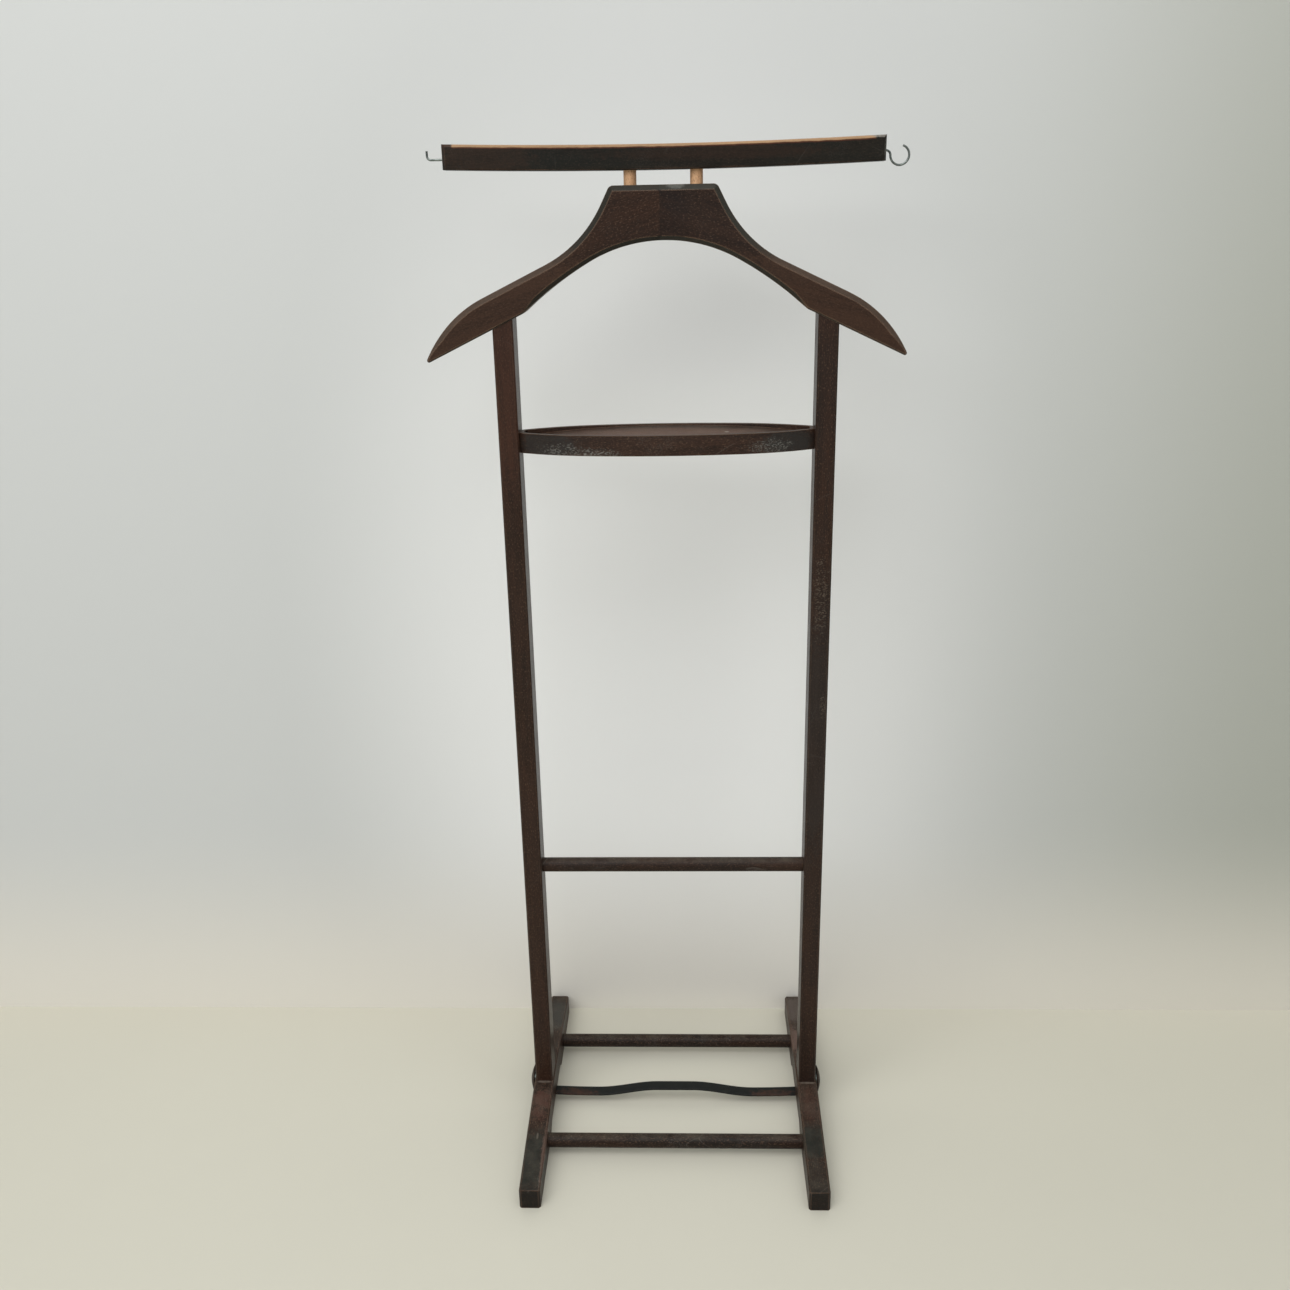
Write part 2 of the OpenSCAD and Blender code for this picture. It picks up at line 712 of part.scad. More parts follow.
module square_hook() {
    bend_at = square_reach - square_r;
    color(steel) translate([-bar_len / 2, 0, bar_end_z]) mirror([1, 0, 0]) {
        bar_x(-screw_len, screw_out, 2 * screw_r);
        bent_wire(concat(
            [[hook_in, 0]],
            arc_points([bend_at, square_r], square_r, -90, 0),
            [[square_reach, square_up], [square_reach, square_up + wire_r / 2]]
        ));
    }
}

left_foot();
right_foot();
left_post();
right_post();
front_shoe_rail();
rear_shoe_rail();
centre_strap();
trouser_rail();
left_base_knob();
right_base_knob();
base_studs();
base_washers();
base_inserts();
tray();
tray_dowels();
left_hanger_half();
right_hanger_half();
splice_dowels();
post_dowels();
trouser_bar();
left_bar_dowel();
right_bar_dowel();
round_hook();
square_hook();
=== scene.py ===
"""Looks of a wooden valet stand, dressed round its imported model.

Everything is in metres in the model's own frame: X to the right along the hanger, Y to the back,
Z up, and the origin on the floor midway between the posts.
"""

import logging
import math
from collections.abc import Sequence
from dataclasses import dataclass, field
from enum import Enum

import bmesh
import bpy
from mathutils import Matrix, Vector


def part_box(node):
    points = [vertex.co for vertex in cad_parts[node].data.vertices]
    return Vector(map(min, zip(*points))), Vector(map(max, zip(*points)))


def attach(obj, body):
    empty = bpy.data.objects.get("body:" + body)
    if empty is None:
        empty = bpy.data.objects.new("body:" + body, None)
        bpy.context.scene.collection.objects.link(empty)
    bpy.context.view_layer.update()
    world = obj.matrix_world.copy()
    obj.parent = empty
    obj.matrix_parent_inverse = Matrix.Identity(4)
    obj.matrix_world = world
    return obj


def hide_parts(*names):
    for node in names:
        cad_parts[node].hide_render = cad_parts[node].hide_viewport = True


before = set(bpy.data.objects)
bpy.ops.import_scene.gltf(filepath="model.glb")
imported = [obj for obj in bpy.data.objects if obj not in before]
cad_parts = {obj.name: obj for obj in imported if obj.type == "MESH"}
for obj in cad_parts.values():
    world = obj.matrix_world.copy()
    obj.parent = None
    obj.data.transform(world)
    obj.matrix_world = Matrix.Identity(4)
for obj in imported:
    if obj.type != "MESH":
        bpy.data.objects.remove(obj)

log = logging.getLogger("valet_stand")

Tree = bpy.types.NodeTree
Socket = bpy.types.NodeSocket
Sockets = bpy.types.bpy_prop_collection
Material = bpy.types.Material
Piece = bpy.types.Object
Triple = tuple[float, float, float]
Value = Socket | Triple | float
Line = list[tuple[float, float]]

MM = 0.001

FLOAT = "NodeSocketFloat"
VECTOR = "NodeSocketVector"
MATERIAL = "NodeSocketMaterial"
GEOMETRY = "NodeSocketGeometry"


# ---------------------------------------------------------------- node wiring


class Wiring:
    """Adds nodes to one node tree and joins their sockets."""

    kind = "ShaderNodeTree"

    def __init__(self, tree: Tree) -> None:
        """Keeps the tree that the nodes go into."""
        self.tree = tree

    @classmethod
    def group(cls, name: str, inputs: dict[str, str],
              outputs: dict[str, str]) -> tuple["Wiring", Sockets, Sockets]:
        """Makes an empty node group.

        Args:
            name: the group's name.
            inputs: type of each input socket, by its name.
            outputs: type of each output socket, by its name.

        Returns:
            The wiring, what the group is given and what it puts out.
        """
        tree = bpy.data.node_groups.new(name, cls.kind)
        for way, sockets in (("INPUT", inputs), ("OUTPUT", outputs)):
            for label, socket in sockets.items():
                tree.interface.new_socket(label, in_out=way, socket_type=socket)
        wiring = cls(tree)
        return wiring, wiring.add("NodeGroupInput"), tree.nodes.new("NodeGroupOutput").inputs

    def add(self, kind: str, inputs: dict[str | int, Value] | None = None,
            **settings: object) -> Sockets:
        """Adds one node.

        Args:
            kind: Blender's name of the node's type.
            inputs: value or socket for each named or numbered input.
            settings: attributes to set on the node.

        Returns:
            The new node's outputs.
        """
        node = self.tree.nodes.new(kind)
        for key, value in settings.items():
            setattr(node, key, value)
        self.fill(node.inputs, inputs or {})
        return node.outputs

    def fill(self, sockets: Sockets, values: dict[str | int, Value]) -> None:
        """Links sockets to others, or sets plain values on them.

        Args:
            sockets: the inputs of a node.
            values: what goes into each, by its name or number.
        """
        for key, value in values.items():
            if isinstance(value, Socket):
                self.tree.links.new(value, sockets[key])
            elif sockets[key].type == "RGBA":
                sockets[key].default_value = (*value, 1.0)
            else:
                sockets[key].default_value = value

    def call(self, group: Tree, **inputs: Value) -> Sockets:
        """Places a shared node group with its own input values."""
        named = {key.capitalize(): value for key, value in inputs.items()}
        return self.add("ShaderNodeGroup", named, node_tree=group)

    def math(self, operation: str, a: Value, b: Value = 0.0) -> Socket:
        """Works out one value from two."""
        return self.add("ShaderNodeMath", {0: a, 1: b}, operation=operation)[0]

    def times(self, a: Value, b: Value) -> Socket:
        """Multiplies two values."""
        return self.math("MULTIPLY", a, b)

    def plus(self, a: Value, b: Value) -> Socket:
        """Adds two values."""
        return self.math("ADD", a, b)

    def minus(self, a: Value, b: Value) -> Socket:
        """Takes the second value from the first."""
        return self.math("SUBTRACT", a, b)

    def weigh(self, *parts: tuple[Value, float]) -> Socket:
        """Adds up values.

        Args:
            parts: each value and its weight.

        Returns:
            The sum.
        """
        total = self.times(*parts[0])
        for part in parts[1:]:
            total = self.plus(total, self.times(*part))
        return total

    def vector(self, operation: str, a: Value, b: Value) -> Socket:
        """Works out one vector from two."""
        return self.add("ShaderNodeVectorMath", {0: a, 1: b}, operation=operation)[0]

    def measure(self, operation: str, a: Value, b: Value = (0.0, 0.0, 0.0)) -> Socket:
        """Works out one value from vectors, such as a length."""
        return self.add("ShaderNodeVectorMath", {0: a, 1: b}, operation=operation)["Value"]

    def parts(self, vector: Value) -> Sockets:
        """Takes a vector apart."""
        return self.add("ShaderNodeSeparateXYZ", {0: vector})

    def join(self, x: Value = 0.0, y: Value = 0.0, z: Value = 0.0) -> Socket:
        """Makes a vector of three values."""
        return self.add("ShaderNodeCombineXYZ", {0: x, 1: y, 2: z})[0]

    def band(self, value: Value, low: Value, high: Value) -> Socket:
        """Returns 0 below low and 1 above high, with a smooth rise between."""
        span = {"Value": value, "From Min": low, "From Max": high}
        return self.add("ShaderNodeMapRange", span, interpolation_type="SMOOTHSTEP")["Result"]

    def fade(self, value: Value, low: Value, high: Value) -> Socket:
        """Returns 1 below low and 0 above high, with a smooth fall between."""
        return self.minus(1.0, self.band(value, low, high))

    def noise(self, vector: Value, scale: float, detail: float = 3.0, rough: float = 0.55,
              warp: float = 0.0) -> Socket:
        """Makes soft noise.

        Args:
            vector: where it is read.
            scale: how close it is, per metre.
            detail: number of its finer layers.
            rough: strength of its finer layers.
            warp: how far it is pulled about.

        Returns:
            The noise, from 0 to 1.
        """
        cloud = {"Vector": vector, "Scale": scale, "Detail": detail, "Roughness": rough,
                 "Distortion": warp}
        return self.add("ShaderNodeTexNoise", cloud)["Fac"]

    def ragged(self, vector: Value, scale: float, depth: Value, detail: float = 3.0,
               rough: float = 0.55) -> Socket:
        """Returns noise of the full depth, centred on zero."""
        return self.times(self.minus(self.noise(vector, scale, detail, rough), 0.5), depth)

    def mix(self, share: Value, a: Value, b: Value, blend: str = "MIX") -> Socket:
        """Mixes two colours: a where the share is 0, b where it is 1."""
        return self.add("ShaderNodeMix", {0: share, 6: a, 7: b}, data_type="RGBA",
                        blend_type=blend, clamp_factor=True)[2]


class Surface(Wiring):
    """A material in the making: its shader, the tone of its grain and its colour so far."""

    def __init__(self, name: str) -> None:
        """Starts a material with one Principled shader.

        Args:
            name: the material's name.
        """
        self.material = bpy.data.materials.new(name)
        self.material.use_nodes = True
        super().__init__(self.material.node_tree)
        self.skin = self.tree.nodes["Principled BSDF"].inputs
        self.place = self.add("ShaderNodeTexCoord")["Object"]
        self.tone: Value = 0.0
        self.colour: Value = (0.0, 0.0, 0.0)

    def cover(self, share: Value, colour: Value, blend: str = "MIX") -> None:
        """Lays a colour over the colour so far."""
        self.colour = self.mix(share, self.colour, colour, blend)

    def done(self, rough: Value, sheen: float, height: Value, depth: float,
             strength: float) -> Material:
        """Joins what was made to the shader.

        Args:
            rough: the roughness.
            sheen: level of the highlights.
            height: the relief, from 0 to 1.
            depth: its depth.
            strength: how strongly it shows.

        Returns:
            The finished material.
        """
        relief = {"Height": height, "Distance": depth, "Strength": strength}
        self.fill(self.skin, {
            "Base Color": self.colour,
            "Roughness": rough,
            "Specular IOR Level": sheen,
            "Normal": self.add("ShaderNodeBump", relief)[0],
        })
        return self.material


class SharedEffects:
    """Node groups that more than one finish uses, each built once."""

    def __init__(self) -> None:
        """Builds the groups."""
        self.grain = self._grain()
        self.arris = self._arris()
        self.scratches = self._scratches()
        self.dust = self._dust()
        self.patch = self._patch()

    @staticmethod
    def _grain() -> Tree:
        """Close beech grain along local X: figure, fibres, short flecks, and clouds of stain.

        Returns:
            The node group.
        """
        # name, scale along and across, detail, roughness, warp, foot and top of the band
        layers = (
            ("Figure", 6.0, 90.0, 3.0, 0.6, 0.9, 0.34, 0.66),
            ("Fibre", 60.0, 1100.0, 2.0, 0.7, 0.0, 0.3, 0.7),
            ("Fleck", 420.0, 1000.0, 1.0, 0.5, 0.0, 0.57, 0.70),
            ("Speckle", 330.0, 620.0, 2.0, 0.6, 0.0, 0.36, 0.66),
            ("Cloud", 9.0, 22.0, 3.0, 0.55, 0.4, 0.36, 0.64),
        )
        w, given, out = Wiring.group(
            "beech_grain", {"Along": VECTOR, "Seed": FLOAT}, {layer[0]: FLOAT for layer in layers}
        )
        seed = given["Seed"]
        place = w.vector("ADD", given["Along"], w.join(seed, seed, seed))
        for name, along, across, detail, rough, warp, low, high in layers:
            drawn = w.vector("MULTIPLY", place, (along, across, across))
            w.fill(out, {name: w.band(w.noise(drawn, 1.0, detail, rough, warp), low, high)})
        return w.tree

    @staticmethod
    def _arris() -> Tree:
        """Wear along edges: 1 on an arris, 0 away from it, broken up by noise.

        Returns:
            The node group.
        """
        w, given, out = Wiring.group(
            "arris_wear", {"Place": VECTOR, "Reach": FLOAT, "Broken": FLOAT}, {"Worn": FLOAT}
        )
        rounded = w.add("ShaderNodeBevel", {"Radius": given["Reach"]}, samples=6)[0]
        facing = w.add("ShaderNodeNewGeometry")["True Normal"]
        turned = w.minus(1.0, w.measure("DOT_PRODUCT", rounded, facing))
        coarse = w.noise(given["Place"], 34.0, 3.0, 0.6)
        fine = w.noise(given["Place"], 520.0, 2.0, 0.6)
        level = w.weigh((coarse, 0.72), (fine, 0.28), (given["Broken"], -0.5))
        w.fill(out, {"Worn": w.times(w.band(turned, 0.003, 0.035), w.band(level, 0.12, 0.34))})
        return w.tree

    @staticmethod
    def _scratches() -> Tree:
        """Hairline scratches, and the wider pale scuffs left by shoes and hangers.

        Returns:
            The node group.
        """
        w, given, out = Wiring.group(
            "scratches", {"Place": VECTOR, "Size": FLOAT}, {"Scratch": FLOAT, "Scuff": FLOAT}
        )
        place = given["Place"]
        bend = w.add("ShaderNodeTexNoise", {"Vector": place, "Scale": 14.0, "Detail": 1.0})
        bent = w.vector("ADD", place, w.vector("MULTIPLY", bend["Color"], (0.05, 0.05, 0.05)))
        cells = w.add("ShaderNodeTexVoronoi", {"Vector": bent, "Scale": given["Size"]},
                      feature="DISTANCE_TO_EDGE")
        line = w.fade(cells["Distance"], 0.0, 0.008)
        where = w.band(w.noise(place, 27.0, 2.0), 0.54, 0.64)
        rubbed = w.band(w.noise(place, 34.0, 4.0, 0.7), 0.54, 0.68)
        speck = w.band(w.noise(place, 820.0, 2.0, 0.7), 0.5, 0.62)
        w.fill(out, {"Scratch": w.times(line, where), "Scuff": w.times(rubbed, speck)})
        return w.tree

    @staticmethod
    def _dust() -> Tree:
        """Dust on what faces up.

        Returns:
            The node group.
        """
        w, given, out = Wiring.group("dust", {"Place": VECTOR}, {"Dust": FLOAT})
        facing = w.parts(w.add("ShaderNodeNewGeometry")["Normal"])
        cloud = w.band(w.noise(given["Place"], 60.0, 5.0, 0.65), 0.3, 0.75)
        w.fill(out, {"Dust": w.times(w.band(facing["Z"], 0.5, 0.98), cloud)})
        return w.tree

    @staticmethod
    def _patch() -> Tree:
        """A ragged patch round a centre, 1 inside and 0 outside, which specks can break up.

        Returns:
            The node group.
        """
        w, given, out = Wiring.group(
            "patch",
            {"Place": VECTOR, "Centre": VECTOR, "Half": VECTOR, "Ragged": FLOAT, "Specks": FLOAT},
            {"Patch": FLOAT},
        )
        place = given["Place"]
        off = w.vector("SUBTRACT", place, given["Centre"])
        away = w.measure("LENGTH", w.vector("DIVIDE", off, given["Half"]))
        away = w.plus(away, w.ragged(place, 210.0, given["Ragged"], 4.0, 0.7))
        hatch = w.vector("MULTIPLY", place, (420.0, 420.0, 900.0))
        gaps = w.fade(w.noise(hatch, 1.0, 2.0, 0.6), 0.5, 0.62)
        kept = w.minus(1.0, w.times(gaps, given["Specks"]))
        w.fill(out, {"Patch": w.times(w.fade(away, 0.55, 1.05), kept)})
        return w.tree


# ---------------------------------------------------------------- finishes


class Grain(Enum):
    """Way the fibres run, as the turn in degrees that lays them along X."""

    ACROSS = (0.0, 0.0, 0.0)
    DEEP = (0.0, 0.0, -90.0)
    UPRIGHT = (0.0, 90.0, 0.0)
    RIGHT_ARM = (0.0, -16.0, 0.0)
    LEFT_ARM = (0.0, 16.0, 0.0)

    def along(self, surface: Surface) -> Socket:
        """Turns the surface's place so that the fibres run along X."""
        turn = tuple(math.radians(angle) for angle in self.value)
        return surface.add("ShaderNodeMapping", {"Vector": surface.place, "Rotation": turn})[0]


def dimmed(colour: Triple, share: float) -> Triple:
    """Returns a share of a colour's light."""
    return tuple(share * channel for channel in colour)


@dataclass(frozen=True)
class Patch:
    """A worn, stained or dirty spot on one piece, through which the grain shows."""

    centre: Triple
    half: Triple
    colour: Triple
    strength: float = 0.7
    ragged: float = 1.2
    specks: float = 0.0

    def lay(self, surface: Surface, effects: SharedEffects) -> None:
        """Lays the patch over the surface's colour so far.

        Args:
            surface: the surface.
            effects: the shared node groups.
        """
        mask = surface.call(
            effects.patch, place=surface.place, centre=self.centre, half=self.half,
            ragged=self.ragged, specks=self.specks,
        )["Patch"]
        grained = surface.plus(0.55, surface.times(surface.tone, 0.9))
        amount = surface.times(surface.times(mask, self.strength), grained)
        surface.cover(amount, self.colour)


@dataclass(frozen=True)
class Finish:
    """A finish by its name, and the name of a slot, which is not used."""

    name: str
    slot: str

    def material(self, effects: SharedEffects) -> Material:
        """Builds the material: each kind of finish says how."""
        raise NotImplementedError


@dataclass(frozen=True)
class StainedBeech(Finish):
    """Dark stain over close-grained beech, rubbed thin along the arrises."""

    grain: Grain
    dark: Triple = (0.0125, 0.0066, 0.0042)
    light: Triple = (0.0430, 0.0200, 0.0118)
    cool: Triple = (0.0175, 0.0135, 0.0120)
    rubbed: Triple = (0.150, 0.090, 0.058)
    fleck_tint: Triple = (0.15, 0.09, 0.058)
    scuff_tint: Triple = (0.22, 0.20, 0.175)
    dust_tint: Triple = (0.17, 0.15, 0.115)
    coolness: float = 0.35
    wear: float = 0.55
    broken: float = 0.5
    reach: float = 1.0 * MM
    dust: float = 0.12
    scuffs: float = 0.2
    scratch_size: float = 9.0
    roughness: float = 0.42
    sheen: float = 0.2
    fleck: float = 0.3
    seed: float = 0.0
    relief: float = 0.1 * MM
    under: tuple[Patch, ...] = ()
    patches: tuple[Patch, ...] = ()

    def material(self, effects: SharedEffects) -> Material:
        """Builds the material: stain, patches, wear, scuffs and dust, in that order.

        Args:
            effects: the shared node groups.

        Returns:
            The finished material.
        """
        s = Surface(self.name)
        grain = s.call(effects.grain, along=self.grain.along(s), seed=self.seed)
        arris = s.call(effects.arris, place=s.place, reach=self.reach, broken=self.broken)
        marks = s.call(effects.scratches, place=s.place, size=self.scratch_size)
        dusty = s.times(s.call(effects.dust, place=s.place)["Dust"], self.dust)

        s.tone = s.weigh((grain["Figure"], 0.40), (grain["Fibre"], 0.22), (grain["Speckle"], 0.38))
        s.colour = s.mix(s.tone, self.dark, self.light)
        s.cover(s.times(grain["Cloud"], self.coolness), self.cool)
        s.cover(s.times(grain["Fleck"], self.fleck), self.fleck_tint)
        for patch in self.under:
            patch.lay(s, effects)
        self.rub(s)
        for patch in self.patches:
            patch.lay(s, effects)
        worn = self.spare(s, s.times(arris["Worn"], self.wear))
        s.cover(worn, self.rubbed)
        scuff = s.times(s.math("MAXIMUM", marks["Scratch"], marks["Scuff"]), self.scuffs)
        s.cover(scuff, self.scuff_tint)
        s.cover(dusty, self.dust_tint)

        fibre = s.minus(grain["Fibre"], 0.5)
        scraped = s.plus(worn, scuff)
        rough = s.plus(self.roughness, s.weigh((fibre, 0.14), (dusty, 0.6), (scraped, 0.2)))
        height = s.weigh((grain["Fibre"], 0.5), (grain["Speckle"], 0.5), (grain["Fleck"], -1.0),
                         (marks["Scratch"], -1.0))
        return s.done(rough, self.sheen, height, self.relief, 0.5)

    def rub(self, surface: Surface) -> None:
        """Leaves the colour as it is: most pieces have no tints of their own."""

    def spare(self, surface: Surface, worn: Socket) -> Socket:
        """Returns the wear unchanged: most pieces wear along all their arrises."""
        return worn


@dataclass(frozen=True)
class HangerBeech(StainedBeech):
    """Stained beech with painted light on its bevels: a grey painted sheen round the head, painted
    shade where they face down, and a tan painted highlight on the arms.
    """

    # painted light on the bevels: grey painted sheen at the head, also painted shade on bevels
    # that face down; tan painted highlight on the arms
    bevel_painted_sheen_and_shade: Triple = (0.029, 0.030, 0.0245)
    arm_painted_highlight: Triple = (0.095, 0.064, 0.045)
    head_low: float = 960 * MM
    head_high: float = 990 * MM
    head_ragged: float = 40 * MM
    seam_x: float = -3.5 * MM
    seam_dark: Triple = (0.62, 0.72, 0.88)
    seam_run: float = 36 * MM
    seam_strength: float = 0.0
    seam_spared: tuple[float, float] = (1.5 * MM, 2.5 * MM)

    def rub(self, surface: Surface) -> None:
        """Paints light on the bevels, as a grey painted sheen, painted shade and a tan painted
        highlight, and darkens the wood beside the seam.

        Args:
            surface: the surface.
        """
        s = surface
        axes = s.parts(s.place)
        facing = s.parts(s.add("ShaderNodeNewGeometry")["Normal"])
        slanted = s.fade(s.math("ABSOLUTE", facing["Y"]), 0.80, 0.93)
        up = s.plus(axes["Z"], s.ragged(s.place, 60.0, self.head_ragged))
        at_head = s.band(up, self.head_low, self.head_high)
        shaded = s.fade(facing["Z"], -0.1, 0.3)
        # grey share: painted sheen on the head's bevels and painted shade on bevels that face
        # down; tan share: painted highlight on the other bevels
        painted_sheen_and_shade_share = s.times(slanted, s.math("MAXIMUM", at_head, shaded))
        painted_highlight_share = s.minus(slanted, painted_sheen_and_shade_share)
        beside = s.minus(axes["X"], self.seam_x)
        dark = s.times(s.fade(beside, self.seam_run * 0.4, self.seam_run), self.seam_strength)
        s.cover(dark, self.seam_dark, "MULTIPLY")
        s.cover(s.times(painted_sheen_and_shade_share, 0.75), self.bevel_painted_sheen_and_shade)
        s.cover(s.times(painted_highlight_share, 0.7), s.mix(s.tone, dimmed(self.arm_painted_highlight, 0.6), self.arm_painted_highlight))

    def spare(self, surface: Surface, worn: Socket) -> Socket:
        """Keeps the wear off the glued seam.

        Args:
            surface: the surface.
            worn: wear along all arrises.

        Returns:
            The wear away from the seam.
        """
        beside = surface.minus(surface.parts(surface.place)["X"], self.seam_x)
        away = surface.band(surface.math("ABSOLUTE", beside), *self.seam_spared)
        return surface.times(worn, away)


@dataclass(frozen=True)
class RubbedBar(StainedBeech):
    """Stained beech that hangers and trousers have rubbed bare along the top."""

    bare: Triple = (0.44, 0.27, 0.145)
    blush: Triple = (0.085, 0.030, 0.017)
    foot_z: float = 0.0
    height: float = 22.3 * MM
    rise: float = 3.5 * MM
    half_len: float = 204.5 * MM
    bare_depth: float = 2.3 * MM
    bare_ragged: float = 1.6 * MM
    bare_soft: float = 0.3 * MM
    blush_from: float = 1.6 * MM
    blush_full: float = 0.6 * MM
    stained_end: float = 11 * MM
    stained_soft: float = 2 * MM

    def rub(self, surface: Surface) -> None:
        """Bares the top of the bowed bar, with a reddish edge to the stain under it.

        Args:
            surface: the surface.
        """
        s = surface
        axes = s.parts(s.place)
        share = s.math("DIVIDE", axes["X"], self.half_len)
        bow = s.times(s.times(share, share), self.rise)
        up = s.minus(s.minus(axes["Z"], bow), self.foot_z)
        up = s.plus(up, s.ragged(s.place, 90.0, self.bare_ragged))
        from_end = s.minus(self.half_len, s.math("ABSOLUTE", axes["X"]))
        inside = s.band(from_end, self.stained_end - self.stained_soft, self.stained_end)
        edge = self.height - self.bare_depth
        blushed = s.times(s.band(up, edge - self.blush_from, edge - self.blush_full), inside)
        bared = s.times(s.band(up, edge - self.bare_soft, edge + self.bare_soft), inside)
        s.cover(s.times(blushed, 0.8), self.blush)
        s.cover(s.times(bared, 0.93), s.mix(s.tone, dimmed(self.bare, 0.72), self.bare))


@dataclass(frozen=True)
class BareBeech(Finish):
    """Unstained sanded beech."""

    grain: Grain
    pale: Triple = (0.76, 0.47, 0.265)
    warm: Triple = (0.55, 0.30, 0.155)
    fleck_tint: Triple = (0.20, 0.10, 0.05)
    smudge_tint: Triple = (0.10, 0.055, 0.03)
    roughness: float = 0.55
    sheen: float = 0.3
    relief: float = 0.08 * MM

    def material(self, effects: SharedEffects) -> Material:
        """Builds the material from the shared grain and scratches.

        Args:
            effects: the shared node groups.

        Returns:
            The finished material.
        """
        s = Surface(self.name)
        grain = s.call(effects.grain, along=self.grain.along(s), seed=0.0)
        marks = s.call(effects.scratches, place=s.place, size=30.0)
        tone = s.weigh((grain["Figure"], 0.45), (grain["Fibre"], 0.55))
        s.colour = s.mix(tone, self.warm, self.pale)
        s.cover(s.times(grain["Fleck"], 0.6), self.fleck_tint)
        s.cover(s.times(marks["Scuff"], 0.35), self.smudge_tint)
        rough = s.plus(self.roughness, s.times(grain["Fibre"], 0.12))
        return s.done(rough, self.sheen, grain["Fibre"], self.relief, 0.5)


@dataclass(frozen=True)
class WornMetal(Finish):
    """Metal with a tarnished skin, brighter on its arrises."""

    skin: Triple
    bright: Triple
    metallic: float
    roughness: float
    tarnish: float = 0.45
    mottle: float = 160.0
    reach: float = 0.5 * MM
    sheen: float = 0.5
    relief: float = 0.05 * MM
    patches: tuple[Patch, ...] = ()

    def material(self, effects: SharedEffects) -> Material:
        """Builds the material from mottled tarnish, arris wear and scratches.

        Args:
            effects: the shared node groups.

        Returns:
            The finished material.
        """
        s = Surface(self.name)
        arris = s.call(effects.arris, place=s.place, reach=self.reach, broken=0.5)
        marks = s.call(effects.scratches, place=s.place, size=40.0)
        s.tone = s.band(s.noise(s.place, self.mottle, 4.0, 0.65), 0.35, 0.7)
        wear = s.math("MAXIMUM", s.times(arris["Worn"], 0.7), s.times(marks["Scratch"], 0.5))
        s.colour = s.mix(s.times(s.tone, self.tarnish), self.skin, self.bright)
        for patch in self.patches:
            patch.lay(s, effects)
        s.cover(wear, self.bright)
        s.fill(s.skin, {"Metallic": self.metallic})
        rough = s.plus(self.roughness, s.weigh((s.tone, 0.18), (wear, -0.12)))
        return s.done(rough, self.sheen, s.tone, self.relief, 0.4)


ZINC = WornMetal("zinc_steel", "zinc_steel", (0.085, 0.100, 0.092), (0.42, 0.46, 0.43), 1.0, 0.26)
BRASS = WornMetal("insert_brass", "insert_brass", (0.45, 0.31, 0.12), (0.72, 0.54, 0.25), 1.0, 0.3)
BARE = BareBeech("bare_beech", "bare_beech", Grain.UPRIGHT)


# ---------------------------------------------------------------- pieces


WELD = 2e-6  # corners of the model's loose triangles that are this close are one corner
FLAT = 0.3  # faces that turn by less than this are one face, in degrees
ON_SEAM = 1e-5  # a corner this near a seam is on it
ARRIS = 28  # an edge that turns by more than this is an arris and gets rounded
ROUNDING = 2  # faces across a rounded arris
SOFT_TURN = 38  # a softened copy is shaded smooth across edges that turn by less
GROWN_TURN = 40  # the same for a turned or grown piece
FLAT_WEIGHT = 80  # how firmly a large flat face holds its shading


def piece_name(node: str) -> str:
    """Names the piece that stands for a node."""
    return node.removesuffix("_half") + "_piece"


def corners(node: str) -> tuple[Vector, Vector]:
    """Returns the low and the high corner of a node's box."""
    low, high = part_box(node)
    return Vector(low), Vector(high)


def new_piece(name: str, points: Sequence = (), edges: Sequence = (),
              faces: Sequence = ()) -> Piece:
    """Makes a mesh object at the origin and links it to the scene.

    Args:
        name: its name.
        points: its corners.
        edges: its loose edges.
        faces: its faces.

    Returns:
        The object.
    """
    mesh = bpy.data.meshes.new(name)
    mesh.from_pydata(points, edges, faces)
    piece = bpy.data.objects.new(name, mesh)
    bpy.context.scene.collection.objects.link(piece)
    return piece


def bake_modifiers(piece: Piece) -> None:
    """Turns the object's live modifiers into plain mesh and removes them.

    Args:
        piece: the object.
    """
    bpy.context.view_layer.update()
    ready = piece.evaluated_get(bpy.context.evaluated_depsgraph_get())
    mesh = bpy.data.meshes.new_from_object(ready)
    mesh.name = piece.name
    piece.modifiers.clear()
    piece.data = mesh


def smooth(piece: Piece, degrees: float) -> None:
    """Shades the mesh smooth, apart from edges that turn by more than the angle.

    Args:
        piece: the object.
        degrees: the angle.
    """
    mesh = piece.data
    mesh.polygons.foreach_set("use_smooth", [True] * len(mesh.polygons))
    bm = bmesh.new()
    bm.from_mesh(mesh)
    for edge in bm.edges:
        turn = edge.calc_face_angle(None)
        edge.smooth = turn is not None and turn < math.radians(degrees)
    bm.to_mesh(mesh)
    bm.free()


